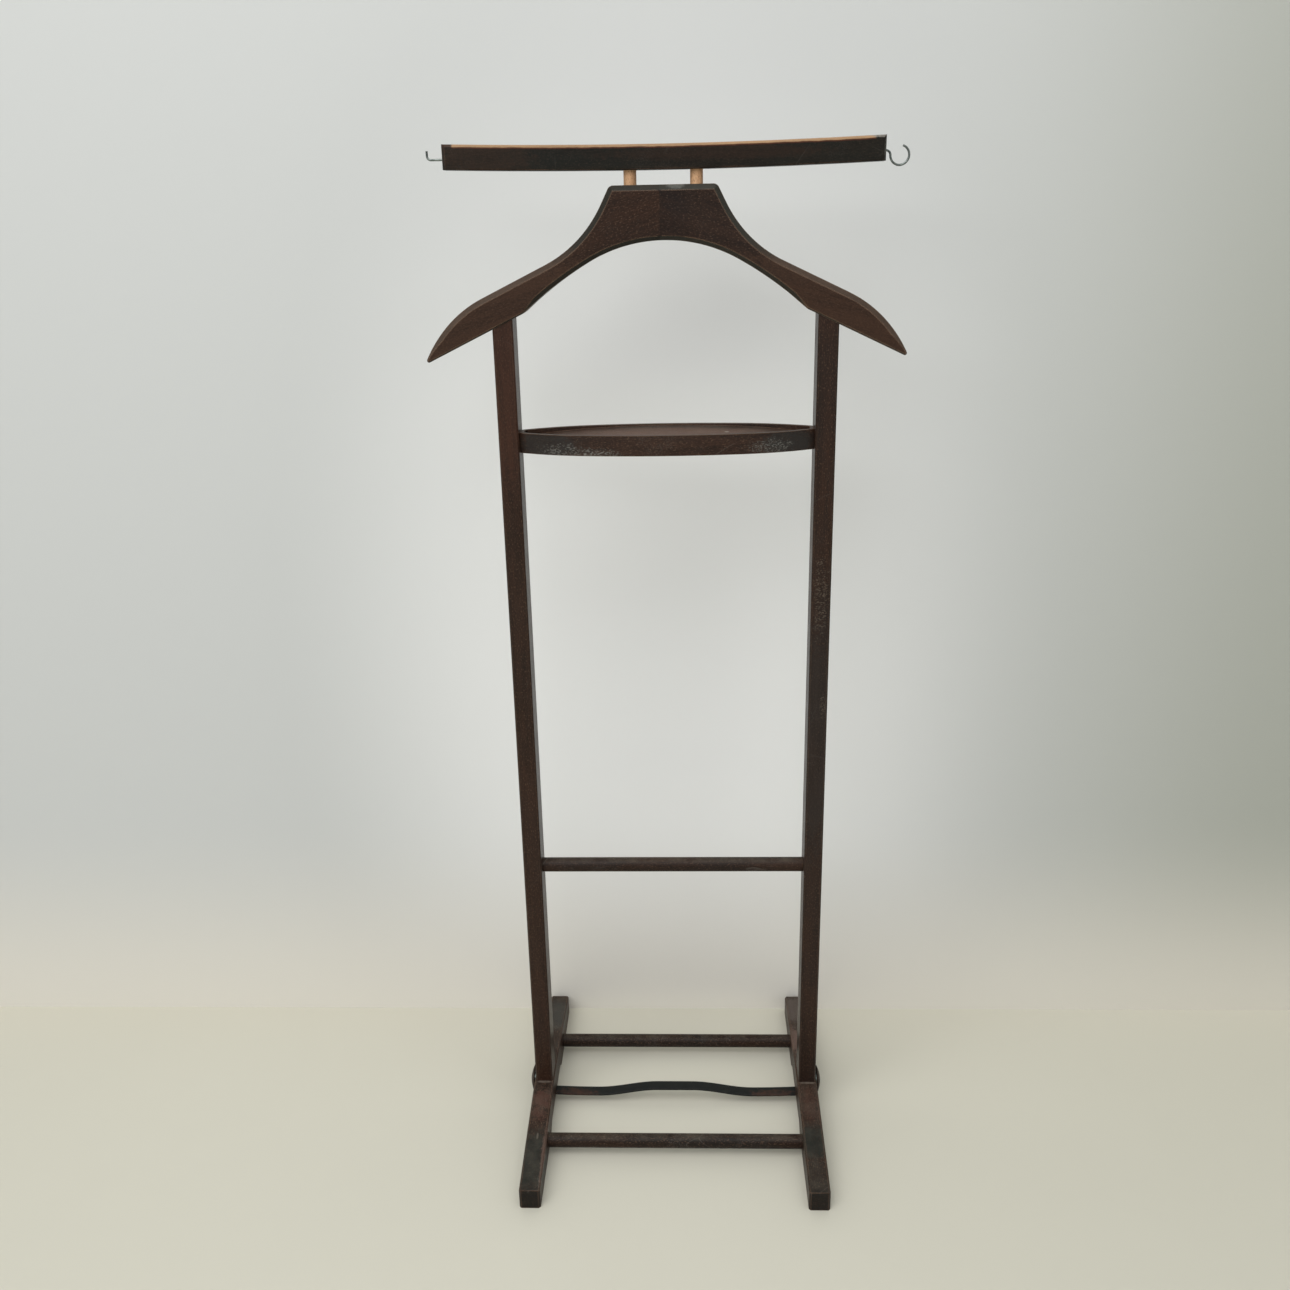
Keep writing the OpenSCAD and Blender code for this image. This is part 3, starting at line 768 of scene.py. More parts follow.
def softened_copy(node: str, arris: float, seam_x: float | None = None) -> Piece:
    """Copies a node's mesh, joins its faces and rounds its arrises.

    Args:
        node: the model's node to copy.
        arris: radius given to sharp edges.
        seam_x: place of a glued seam across X, whose edges stay sharp.

    Returns:
        The new object, at the origin.
    """
    bm = bmesh.new()
    bm.from_mesh(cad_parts[node].data)
    bmesh.ops.remove_doubles(bm, verts=bm.verts, dist=WELD)
    bmesh.ops.dissolve_limit(bm, angle_limit=math.radians(FLAT), verts=bm.verts, edges=bm.edges)
    weights = bm.edges.layers.float.new("bevel_weight_edge")
    for edge in bm.edges:
        at_seam = seam_x is not None and all(abs(v.co.x - seam_x) < ON_SEAM for v in edge.verts)
        sharp = edge.calc_face_angle(0.0) > math.radians(ARRIS)
        edge[weights] = float(sharp and not at_seam)
    piece = new_piece(piece_name(node))
    bm.to_mesh(piece.data)
    bm.free()
    bevel = piece.modifiers.new("arris", "BEVEL")
    bevel.width = arris
    bevel.segments = ROUNDING
    bevel.limit_method = "WEIGHT"
    bevel.miter_outer = "MITER_ARC"
    bake_modifiers(piece)
    smooth(piece, SOFT_TURN)
    weighted = piece.modifiers.new("flat_faces", "WEIGHTED_NORMAL")
    weighted.keep_sharp = True
    weighted.weight = FLAT_WEIGHT
    bake_modifiers(piece)
    return piece


def grow(piece: Piece, tree: Tree, inputs: dict[str, object]) -> Piece:
    """Grows a piece with a Geometry Nodes tree and turns the result into plain mesh.

    Args:
        piece: the object that the tree starts from.
        tree: the tree.
        inputs: value of each of the tree's named inputs.

    Returns:
        The finished object, at the origin.
    """
    shape = piece.modifiers.new("shape", "NODES")
    shape.node_group = tree
    sockets = {
        item.name: item.identifier
        for item in tree.interface.items_tree
        if item.item_type == "SOCKET" and item.in_out == "INPUT"
    }
    for label, value in inputs.items():
        shape[sockets[label]] = value
    bake_modifiers(piece)
    smooth(piece, GROWN_TURN)
    return piece


def arc(centre: tuple[float, float], radius: float, start: float, end: float, steps: int) -> Line:
    """Gives points along an arc, with its angles in degrees."""
    angles = (math.radians(start + (end - start) * i / steps) for i in range(steps + 1))
    return [(centre[0] + radius * math.cos(a), centre[1] + radius * math.sin(a)) for a in angles]


class Shaping(Wiring):
    """Wiring of a Geometry Nodes tree, with the steps that its shapes share."""

    kind = "GeometryNodeTree"

    def path(self, centre: Value, half: Value, steps: int) -> Socket:
        """Lays a straight line along X.

        Args:
            centre: its middle.
            half: half its length.
            steps: number of points along it.

        Returns:
            The curve.
        """
        reach = self.join(half)
        ends = {"Start": self.vector("SUBTRACT", centre, reach),
                "End": self.vector("ADD", centre, reach)}
        line = self.add("GeometryNodeCurvePrimitiveLine", ends)[0]
        cut = {"Curve": line, "Count": steps}
        return self.add("GeometryNodeResampleCurve", cut, mode="COUNT")[0]

    def circle(self, radius: Value, sides: int) -> Socket:
        """Makes a round section."""
        section = {"Resolution": sides, "Radius": radius}
        return self.add("GeometryNodeCurvePrimitiveCircle", section)[0]

    def sweep(self, path: Socket, section: Socket) -> Socket:
        """Sweeps a section along a path and closes the ends."""
        run = {"Curve": path, "Profile Curve": section, "Fill Caps": True}
        return self.add("GeometryNodeCurveToMesh", run)[0]

    def ripple(self, shape: Socket, depth: Value, seed: Value, scale: Triple) -> Socket:
        """Moves a surface in and out a little by seeded noise.

        Args:
            shape: the geometry.
            depth: full depth of the ripple.
            seed: seed of the noise.
            scale: noise scale along each axis, per metre.

        Returns:
            The moved geometry.
        """
        at = self.vector("MULTIPLY", self.add("GeometryNodeInputPosition")[0], scale)
        cloud = {"Vector": at, "W": seed, "Scale": 1.0, "Detail": 2.0}
        noise = self.add("ShaderNodeTexNoise", cloud, noise_dimensions="4D")[0]
        push = self.times(self.minus(noise, 0.5), depth)
        facing = self.add("GeometryNodeInputNormal")[0]
        offset = self.add("ShaderNodeVectorMath", {0: facing, "Scale": push}, operation="SCALE")[0]
        return self.add("GeometryNodeSetPosition", {"Geometry": shape, "Offset": offset})[0]

    def end(self, out: Sockets, shape: Socket, finish: Socket) -> Tree:
        """Ends the tree in plain mesh with its material.

        Args:
            out: what the tree puts out.
            shape: the geometry so far.
            finish: the material's socket.

        Returns:
            The finished tree.
        """
        real = self.add("GeometryNodeRealizeInstances", {"Geometry": shape})[0]
        dressed = self.add("GeometryNodeSetMaterial", {"Geometry": real, "Material": finish})[0]
        self.fill(out, {"Geometry": dressed})
        return self.tree


@dataclass
class SharedShapes:
    """Geometry Nodes trees, each built once, and how finely they are cut."""

    rail_steps: int = 90
    rail_sides: int = 40
    strap_steps: int = 181
    wire_sides: int = 20
    thread_steps: int = 18
    thread_sides: int = 6

    def __post_init__(self) -> None:
        """Builds the trees."""
        self.rail = self._rail()
        self.strap = self._strap()
        self.wire = self._wire()

    def _rail(self) -> Tree:
        """A turned rail along X, a little out of round.

        Returns:
            The tree.
        """
        w, size, out = Shaping.group(
            "turned_rail",
            {"Centre": VECTOR, "Length": FLOAT, "Diameter": FLOAT, "Ripple": FLOAT, "Seed": FLOAT,
             "Finish": MATERIAL},
            {"Geometry": GEOMETRY},
        )
        line = w.path(size["Centre"], w.times(size["Length"], 0.5), self.rail_steps)
        skin = w.sweep(line, w.circle(w.times(size["Diameter"], 0.5), self.rail_sides))
        turned = w.ripple(skin, size["Ripple"], size["Seed"], (14.0, 60.0, 60.0))
        return w.end(out, turned, size["Finish"])

    def _strap(self) -> Tree:
        """A flat steel strap along X: a crown between two low points, and a rise to each end.

        Returns:
            The tree.
        """
        w, size, out = Shaping.group(
            "bent_strap",
            {"Half Length": FLOAT, "Foot X": FLOAT, "Crown X": FLOAT, "Low X": FLOAT,
             "Low Z": FLOAT, "Rise": FLOAT, "End Rise": FLOAT, "Width": FLOAT,
             "Thickness": FLOAT, "Corner": FLOAT, "Ripple": FLOAT, "Seed": FLOAT,
             "Finish": MATERIAL},
            {"Geometry": GEOMETRY},
        )
        line = w.path((0.0, 0.0, 0.0), size["Half Length"], self.strap_steps)
        x = w.math("ABSOLUTE", w.parts(w.add("GeometryNodeInputPosition")[0])["X"])
        past = w.math("MAXIMUM", w.minus(x, size["Crown X"]), 0.0)
        swing = w.math("DIVIDE", w.times(past, math.pi), w.minus(size["Low X"], size["Crown X"]))
        crown = w.times(w.times(w.plus(w.math("COSINE", swing), 1.0), 0.5), size["Rise"])
        beyond = w.minus(w.math("MINIMUM", x, size["Foot X"]), size["Low X"])
        run = w.math("DIVIDE", beyond, w.minus(size["Foot X"], size["Low X"]))
        lift = w.times(w.times(run, run), size["End Rise"])
        inner = w.math("LESS_THAN", x, size["Low X"])
        rise = w.add("GeometryNodeSwitch", {"Switch": inner, "False": lift, "True": crown},
                     input_type="FLOAT")[0]
        up = w.join(z=w.plus(size["Low Z"], rise))
        bent = w.add("GeometryNodeSetPosition", {"Geometry": line, "Offset": up})[0]
        level = w.add("GeometryNodeSetCurveNormal", {"Curve": bent}, mode="Z_UP")[0]
        plain = w.add("GeometryNodeCurvePrimitiveQuadrilateral",
                      {"Width": size["Width"], "Height": size["Thickness"]})[0]
        section = w.add("GeometryNodeFilletCurve",
                        {"Curve": plain, "Radius": size["Corner"], "Count": 3}, mode="POLY")[0]
        skin = w.sweep(level, section)
        forged = w.ripple(skin, size["Ripple"], size["Seed"], (70.0, 90.0, 90.0))
        return w.end(out, forged, size["Finish"])

    def _wire(self) -> Tree:
        """A bent wire along a line of edges, with a screw thread on its shank.

        Returns:
            The tree.
        """
        w, size, out = Shaping.group(
            "bent_wire",
            {"Geometry": GEOMETRY, "Wire Radius": FLOAT, "Tip": FLOAT, "Thread Start": VECTOR,
             "Thread Turn": VECTOR, "Thread Length": FLOAT, "Thread Pitch": FLOAT,
             "Thread Height": FLOAT, "Finish": MATERIAL},
            {"Geometry": GEOMETRY},
        )
        radius = size["Wire Radius"]
        line = w.add("GeometryNodeMeshToCurve", {"Mesh": size["Geometry"]})[0]
        even = w.add("GeometryNodeSetCurveRadius", {"Curve": line, "Radius": 1.0})[0]
        tip = w.add("GeometryNodeCurveEndpointSelection", {"Start Size": 0, "End Size": 1})[0]
        slim = w.add("GeometryNodeSetCurveRadius",
                     {"Curve": even, "Selection": tip, "Radius": size["Tip"]})[0]
        wire = w.sweep(slim, w.circle(radius, self.wire_sides))
        helix = w.add(
            "GeometryNodeCurveSpiral",
            {"Resolution": self.thread_steps, "Start Radius": radius, "End Radius": radius,
             "Rotations": w.math("DIVIDE", size["Thread Length"], size["Thread Pitch"]),
             "Height": size["Thread Length"]},
        )[0]
        laid = w.add(
            "GeometryNodeTransform",
            {"Geometry": helix, "Translation": size["Thread Start"],
             "Rotation": size["Thread Turn"]},
        )[0]
        thread = w.sweep(laid, w.circle(size["Thread Height"], self.thread_sides))
        both = w.tree.nodes.new("GeometryNodeJoinGeometry")
        for part in (wire, thread):
            w.fill(both.inputs, {0: part})
        return w.end(out, both.outputs[0], size["Finish"])


@dataclass
class Workshop:
    """Makes each finish once and hands finished pieces to the frame."""

    ripple: float = 0.12 * MM
    effects: SharedEffects = field(default_factory=SharedEffects)
    shapes: SharedShapes = field(default_factory=SharedShapes)
    stock: dict[str, Material] = field(default_factory=dict)

    def finish(self, recipe: Finish) -> Material:
        """Returns a finish's material, built on first use.

        Args:
            recipe: the finish.

        Returns:
            Its material.
        """
        if recipe.name not in self.stock:
            self.stock[recipe.name] = recipe.material(self.effects)
        return self.stock[recipe.name]

    def fit(self, piece: Piece, recipe: Finish, body: str, node: str) -> None:
        """Dresses a new piece, joins it to its body and hides the node that it replaces.

        Args:
            piece: the finished object.
            recipe: its finish.
            body: the body that it rides on.
            node: the model's node that it replaces.
        """
        if not piece.data.materials:
            piece.data.materials.append(self.finish(recipe))
        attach(piece, body)
        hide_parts(node)
        log.info("%s: %d faces, %s", piece.name, len(piece.data.polygons), recipe.name)

    def soften(self, node: str, recipe: Finish, arris: float, body: str = "stand",
               seam_x: float | None = None) -> None:
        """Fits a softened copy of a node in its place."""
        self.fit(softened_copy(node, arris, seam_x), recipe, body, node)

    def rail(self, node: str, recipe: StainedBeech) -> None:
        """Turns a rail and fits it in place of its node.

        Args:
            node: the node.
            recipe: its finish.
        """
        low, high = corners(node)
        piece = grow(
            new_piece(piece_name(node)), self.shapes.rail,
            {"Centre": (low + high) / 2, "Length": high.x - low.x, "Diameter": high.z - low.z,
             "Ripple": self.ripple, "Seed": recipe.seed, "Finish": self.finish(recipe)},
        )
        self.fit(piece, recipe, "stand", node)

    def dress(self, recipe: Finish, *nodes: str) -> None:
        """Gives nodes of the model a finish and leaves their meshes alone.

        Args:
            recipe: the finish.
            nodes: the nodes.
        """
        for node in nodes:
            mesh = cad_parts[node].data
            mesh.materials.clear()
            mesh.materials.append(self.finish(recipe))
            log.info("%s: kept, %s", node, recipe.name)


# ---------------------------------------------------------------- sub-assemblies


@dataclass
class Base:
    """The two feet and what lies between them."""

    shop: Workshop
    arris: float = 0.7 * MM
    foot_x: float = 156 * MM
    foot_in_x: float = 144.5 * MM
    strap_crown_x: float = 20 * MM
    strap_low_x: float = 93 * MM
    strap_low_z: float = 11.6 * MM
    strap_rise: float = 8.5 * MM
    strap_end_rise: float = 1.4 * MM
    strap_t: float = 2.5 * MM
    strap_corner: float = 0.6 * MM
    knob_rim: float = 1.0 * MM
    knob_bead: float = 0.4 * MM
    knob_ring: float = 0.04 * MM
    knob_rings: int = 7
    knob_steps: int = 28
    knob_sides: int = 72

    def build(self) -> None:
        """Builds and dresses the pieces of the base."""
        self.feet()
        self.knobs()
        rail_wood = StainedBeech(
            "shoe_rail_wood", "rail_wood", Grain.ACROSS, dust=0.28, scuffs=0.2, scratch_size=16.0,
            coolness=0.6, seed=4.0, broken=0.7, light=(0.032, 0.0170, 0.011), sheen=0.12,
            cool=(0.0130, 0.0125, 0.0105), fleck=0.45,
        )
        for node in ("front_shoe_rail", "rear_shoe_rail"):
            self.shop.rail(node, rail_wood)
        self.strap()
        self.shop.dress(ZINC, "base_studs", "base_washers")
        self.shop.dress(BRASS, "base_inserts")

    def feet(self) -> None:
        """Builds the feet, each with its own paler and darker patches."""
        red = (0.078, 0.036, 0.026)
        black = (0.0080, 0.0078, 0.0066)
        slate = (0.0165, 0.0175, 0.0140)
        rosy = (0.110, 0.066, 0.052)
        pale = (0.16, 0.13, 0.105)
        x, wide = self.foot_x, 0.030
        patches = {
            "left": (
                Patch((-x, -0.136, 0.030), (wide, 0.050, 0.030), slate, 0.85, 1.0),
                Patch((-x + 0.001, -0.045, 0.038), (0.013, 0.017, 0.010), red, 0.8, 3.0),
                Patch((-x - 0.001, -0.069, 0.036), (0.010, 0.011, 0.010), red, 0.6, 3.2),
                Patch((-0.1453, -0.126, 0.030), (0.0034, 0.055, 0.010), rosy, 0.7, 2.4),
                Patch((-x, 0.128, 0.030), (wide, 0.044, 0.016), (0.036, 0.035, 0.031), 0.8, 0.6),
                Patch((-x + 0.001, -0.101, 0.032), (0.0011, 0.005, 0.006), pale, 0.5, 1.6),
            ),
            "right": (
                Patch((x, -0.108, 0.034), (wide, 0.030, 0.014), slate, 0.9, 1.0),
                Patch((x, -0.158, 0.026), (wide, 0.030, 0.014), slate, 0.45, 1.2),
                Patch((x, -0.052, 0.038), (0.012, 0.034, 0.010), red, 0.35, 2.0),
                Patch((x, 0.062, 0.036), (0.013, 0.040, 0.012), (0.135, 0.082, 0.066), 0.8, 1.4),
                Patch((x, 0.145, 0.030), (wide, 0.040, 0.014), (0.085, 0.066, 0.057), 0.85, 0.8),
                Patch((0.147, 0.072, 0.034), (0.006, 0.034, 0.010), rosy, 0.6, 1.6),
            ),
        }
        for side, sign, seed in (("left", -1, 1.7), ("right", 1, 2.7)):
            both = (
                Patch((sign * x, -0.0180, 0.0395), (0.011, 0.0022, 0.002), pale, 0.7, 0.5),
                Patch((sign * x, -0.180, 0.008), (wide, 0.016, 0.028), black, 0.95, 0.9, 0.3),
            )
            wood = StainedBeech(
                f"foot_wood_{side}", "foot_wood", Grain.DEEP, dust=0.16, scuffs=0.25, wear=0.7,
                broken=0.4, reach=1.6 * MM, seed=seed, patches=patches[side] + both,
                scratch_size=26.0, cool=(0.0150, 0.0140, 0.0120), sheen=0.15, fleck=0.5,
            )
            self.shop.soften(f"{side}_foot", wood, self.arris)

    def knobs(self) -> None:
        """Turns the two domed knobs and fits them."""
        wood = StainedBeech(
            "knob_wood", "rail_wood", Grain.UPRIGHT, dust=0.04, wear=0.35, sheen=0.08,
            dark=(0.0080, 0.0050, 0.0036), light=(0.0170, 0.0110, 0.0080),
        )
        for node, sign in (("left_base_knob", -1), ("right_base_knob", 1)):
            low, high = corners(node)
            back = Vector((high.x if sign < 0 else low.x, 0.0, (low.z + high.z) / 2))
            knob = self.turned_knob(node, back, sign, (high.z - low.z) / 2, high.x - low.x)
            self.shop.fit(knob, wood, "stand", node)

    def turned_knob(self, node: str, back: Vector, sign: int, radius: float,
                    height: float) -> Piece:
        """Turns one knob about X, with faint rings left by the gouge.

        Args:
            node: the model's node that it stands for.
            back: middle of its flat back.
            sign: 1 for a knob that stands out along X, -1 for the other way.
            radius: its radius.
            height: its height.

        Returns:
            The knob.
        """
        profile = [(0.0, radius - self.knob_bead), (self.knob_bead, radius),
                   (self.knob_rim, radius)]
        for i in range(1, self.knob_steps + 1):
            share = 1 - i / self.knob_steps
            dome = self.knob_rim + (height - self.knob_rim) * (1 - share**2)
            ring = self.knob_ring * (math.cos(2 * math.pi * self.knob_rings * share) - 1)
            profile.append((min(dome + ring, height), radius * share))
        sides = self.knob_sides
        turns = [2 * math.pi * k / sides for k in range(sides)]
        points = [back[:]]
        for x, r in profile[:-1]:
            points += [(back.x + sign * x, back.y + r * math.cos(a), back.z + r * math.sin(a))
                       for a in turns]
        points.append((back.x + sign * profile[-1][0], back.y, back.z))
        last = 1 + (len(profile) - 2) * sides
        faces = []
        for k in range(sides):
            n = (k + 1) % sides
            faces.append((0, 1 + n, 1 + k))
            for row in range(1, last, sides):
                faces.append((row + k, row + n, row + sides + n, row + sides + k))
            faces.append((last + k, last + n, len(points) - 1))
        if sign < 0:
            faces = [face[::-1] for face in faces]
        knob = new_piece(piece_name(node), points, faces=faces)
        smooth(knob, GROWN_TURN)
        return knob

    def strap(self) -> None:
        """Bends the strap: flat at the middle of its crown, and lowest short of the feet."""
        rust = (0.050, 0.025, 0.017)
        steel = WornMetal(
            "strap_steel", "strap_steel", (0.0060, 0.0075, 0.0068), (0.050, 0.050, 0.045), 0.0,
            0.45, tarnish=0.16, sheen=0.15,
            patches=(
                Patch((-0.120, -0.006, 0.012), (0.028, 0.010, 0.006), rust, 0.8, 2.2),
                Patch((0.118, -0.006, 0.012), (0.030, 0.010, 0.006), rust, 0.8, 2.2),
            ),
        )
        low, high = corners("centre_strap")
        piece = grow(
            new_piece(piece_name("centre_strap")), self.shop.shapes.strap,
            {"Half Length": high.x, "Foot X": self.foot_in_x, "Crown X": self.strap_crown_x,
             "Low X": self.strap_low_x, "Low Z": self.strap_low_z, "Rise": self.strap_rise,
             "End Rise": self.strap_end_rise, "Width": high.y - low.y,
             "Thickness": self.strap_t, "Corner": self.strap_corner, "Ripple": self.shop.ripple,
             "Seed": 5.0, "Finish": self.shop.finish(steel)},
        )
        self.shop.fit(piece, steel, "stand", "centre_strap")


@dataclass
class Uprights:
    """The two posts, the trouser rail between them and the tray."""

    shop: Workshop
    arris: float = 0.6 * MM
    post_x: float = 156 * MM

    def build(self) -> None:
        """Builds and dresses the posts, the trouser rail and the tray."""
        self.posts()
        self.shop.rail(
            "trouser_rail",
            StainedBeech("trouser_rail_wood", "rail_wood", Grain.ACROSS, coolness=0.6, seed=13.0,
                         dust=0.3, sheen=0.12, light=(0.052, 0.028, 0.018)),
        )
        self.tray()
        self.shop.dress(BARE, "tray_dowels", "post_dowels", "splice_dowels")

    def posts(self) -> None:
        """Builds the posts, with stain that differs from one to the other."""
        x = self.post_x
        red = (0.060, 0.024, 0.014)
        umber = (0.026, 0.022, 0.020)
        fawn = (0.185, 0.150, 0.115)
        tints = {
            "left": (Patch((-x, -0.016, 0.850), (0.020, 0.020, 0.110), red, 0.45, 0.8),),
            "right": (
                Patch((x, -0.016, 0.480), (0.020, 0.020, 0.160), umber, 0.5),
                Patch((x, -0.016, 0.642), (0.008, 0.006, 0.046), fawn, 0.34, 2.4, 1.0),
                Patch((x + 0.005, -0.016, 0.520), (0.004, 0.006, 0.014), fawn, 0.36, 2.0, 1.0),
            ),
        }
        for side, seed, coolness in (("left", 7.3, 0.2), ("right", 8.3, 0.4)):
            wood = StainedBeech(
                f"post_wood_{side}", "post_wood", Grain.UPRIGHT, scuffs=0.05, seed=seed,
                coolness=coolness, wear=0.4, roughness=0.36, sheen=0.18, under=tints[side],
            )
            self.shop.soften(f"{side}_post", wood, self.arris)

    def tray(self) -> None:
        """Builds the tray, with a rubbed dish, and soot and ash along its front."""
        soot = (0.021, 0.0205, 0.019)
        ash = (0.19, 0.185, 0.165)
        rubbed = (0.130, 0.067, 0.043)
        chip = (0.34, 0.31, 0.28)
        wood = StainedBeech(
            "tray_wood", "tray_wood", Grain.ACROSS, dust=0.15, scuffs=0.12, wear=0.85, broken=0.3,
            seed=11.0, coolness=0.35, light=(0.048, 0.0235, 0.0145),
            patches=(
                Patch((-0.120, -0.022, 0.800), (0.050, 0.020, 0.016), soot, 0.7),
                Patch((0.125, -0.022, 0.800), (0.045, 0.020, 0.016), soot, 0.7),
                Patch((0.0, 0.0, 0.807), (0.142, 0.033, 0.0045), rubbed, 0.6, 0.5),
                Patch((-0.103, -0.029, 0.795), (0.026, 0.012, 0.009), ash, 0.55, 1.6, 0.95),
                Patch((-0.068, -0.034, 0.793), (0.026, 0.010, 0.006), ash, 0.75, 1.6, 0.9),
                Patch((0.105, -0.029, 0.797), (0.034, 0.012, 0.009), ash, 0.5, 1.6, 0.95),
                Patch((0.060, 0.012, 0.806), (0.003, 0.0015, 0.003), chip, 0.8, 0.6),
            ),
        )
        self.shop.soften("tray", wood, self.arris)


@dataclass
class Hanger:
    """The arched hanger, glued from two halves."""

    shop: Workshop
    arris: float = 0.5 * MM

    def build(self) -> None:
        """Builds and dresses the two halves."""
        worn = Patch((0.012, -0.016, 1.0385), (0.011, 0.008, 0.004), (0.13, 0.13, 0.115), 0.7)
        brown = (0.052, 0.0270, 0.0165)
        # grey: colour of the painted sheen and painted shade on each half's bevels
        for side, x, grain, seed, cool, seam, grey, patches in (
            ("left", -0.165, Grain.LEFT_ARM, 15.0, 0.15, 0.0, (0.023, 0.024, 0.0195), ()),
            ("right", 0.165, Grain.RIGHT_ARM, 21.0, 0.35, 0.75, (0.034, 0.035, 0.028), (worn,)),
        ):
            wood = HangerBeech(
                f"hanger_wood_{side}", "hanger_wood", grain, wear=0.85, reach=1.4 * MM, seed=seed,
                broken=0.3, coolness=cool, scuffs=0.04, dark=(0.0110, 0.0056, 0.0035),
                light=(0.0400, 0.0185, 0.0105), rubbed=(0.25, 0.16, 0.105), sheen=0.15,
                seam_strength=seam, bevel_painted_sheen_and_shade=grey, patches=patches,
                under=(Patch((x, -0.018, 0.925), (0.130, 0.050, 0.090), brown, 0.55),),
            )
            self.shop.soften(f"{side}_hanger_half", wood, self.arris, seam_x=wood.seam_x)


@dataclass
class TopBar:
    """The trouser bar, the two dowels that it lifts on and its hooks."""

    shop: Workshop
    arris: float = 0.5 * MM
    bar_rise: float = 3.5 * MM
    wire_r: float = 1.05 * MM
    eye_r: float = 8.6 * MM
    eye_open: float = 73.0
    hook_bend_r: float = 4.3 * MM
    hook_drop: float = 2 * MM
    screw_out: float = 0.8 * MM
    screw_len: float = 14 * MM
    thread_pitch: float = 1.0 * MM
    thread_height: float = 0.2 * MM
    square_reach: float = 15.4 * MM
    square_up: float = 7.5 * MM
    square_r: float = 3.6 * MM
    tip_len: float = 0.4 * MM
    tip_share: float = 0.72

    def build(self) -> None:
        """Builds and dresses the bar, its dowels and its hooks."""
        low, high = corners("trouser_bar")
        height = high.z - low.z - self.bar_rise
        pale, bruise = (0.24, 0.22, 0.19), (0.13, 0.125, 0.11)
        wood = RubbedBar(
            "bar_wood", "bar_wood", Grain.ACROSS, wear=0.6, broken=0.6, seed=31.0, coolness=0.75,
            foot_z=low.z, height=height, rise=self.bar_rise, half_len=high.x,
            dark=(0.0062, 0.0056, 0.0042), light=(0.0200, 0.0155, 0.0110), scuffs=0.05,
            cool=(0.0100, 0.0110, 0.0088), sheen=0.12, fleck=0.08,
            under=(
                Patch((-0.165, -0.011, 1.066), (0.055, 0.020, 0.020), (0.030, 0.017, 0.011), 0.6),
                Patch((0.050, -0.011, 1.066), (0.120, 0.020, 0.008), (0.026, 0.014, 0.009), 0.5),
                Patch((-0.200, 0.0, 1.078), (0.012, 0.016, 0.006), (0.050, 0.024, 0.015), 0.8),
            ),
            patches=(
                Patch((0.200, -0.0105, 1.0775), (0.012, 0.003, 0.0025), pale, 0.9, 1.2, 0.3),
                Patch((0.2045, -0.0105, 1.066), (0.002, 0.003, 0.018), bruise, 0.8, 1.0, 0.3),
            ),
        )
        self.shop.soften("trouser_bar", wood, self.arris, "lifting_bar")
        for node in ("left_bar_dowel", "right_bar_dowel"):
            self.shop.soften(node, BARE, self.arris, "lifting_bar")
        hole = Vector((high.x, 0.0, high.z - height / 2 - self.hook_drop))
        self.hook("round_hook", "right_hook", hole, 1, self.round_line())
        self.hook("square_hook", "left_hook", hole, -1, self.square_line())

    def round_line(self) -> Line:
        """Lays out the round hook: a short bend and then the eye.

        Returns:
            The wire's centre line from the bar's end, as (out, up).
        """
        bend = (self.screw_out, -self.hook_bend_r)
        eye = (self.screw_out + self.hook_bend_r + self.eye_r, -self.hook_bend_r)
        line = [(-self.screw_len, 0.0), (0.0, 0.0)]
        line += arc(bend, self.hook_bend_r, 90, 6, steps=14)
        return line + arc(eye, self.eye_r, 180, 360 + self.eye_open, steps=60)

    def square_line(self) -> Line:
        """Lays out the square hook: straight out, and up at its end.

        Returns:
            The wire's centre line from the bar's end, as (out, up).
        """
        bend = (self.square_reach - self.square_r, self.square_r)
        line = [(-self.screw_len, 0.0), (0.0, 0.0)]
        line += arc(bend, self.square_r, -90, 0, steps=14)
        return line + [(self.square_reach, self.square_up + more) for more in (0.0, self.tip_len)]

    def hook(self, node: str, body: str, hole: Vector, sign: int, line: Line) -> None:
        """Bends one hook along its line and threads its shank.

        Args:
            node: the model's node that the hook replaces.
            body: the body that it rides on.
            hole: middle of the hole in the bar's right end.
            sign: 1 for the right hook, -1 for the left one.
            line: the wire's centre line, as (out, up).
        """
        points = [(sign * (hole.x + out), hole.y, hole.z + up) for out, up in line]
        edges = [(i, i + 1) for i in range(len(points) - 1)]
        piece = grow(
            new_piece(piece_name(node), points, edges), self.shop.shapes.wire,
            {"Wire Radius": self.wire_r, "Tip": self.tip_share,
             "Thread Start": Vector((sign * (hole.x - self.screw_len), 0.0, hole.z)),
             "Thread Turn": (0.0, sign * math.radians(90), 0.0),
             "Thread Length": self.screw_len + self.screw_out,
             "Thread Pitch": self.thread_pitch, "Thread Height": self.thread_height,
             "Finish": self.shop.finish(ZINC)},
        )
        self.shop.fit(piece, ZINC, body, node)


# ---------------------------------------------------------------- studio


@dataclass(frozen=True)
class Lamp:
    """A square soft lamp, with its power in watts."""

    name: str
    place: Triple
    size: float
    power: float

    def hang(self, target: Triple) -> None:
        """Hangs the lamp so that it faces the target.

        Args:
            target: the place that it faces.
        """
        data = bpy.data.lights.new(self.name, "AREA")
        data.size = self.size
        data.energy = self.power
        lamp = bpy.data.objects.new(self.name, data)
        lamp.location = self.place
        way = Vector(target) - Vector(self.place)
        lamp.rotation_euler = way.to_track_quat("-Z", "Y").to_euler()
        bpy.context.scene.collection.objects.link(lamp)


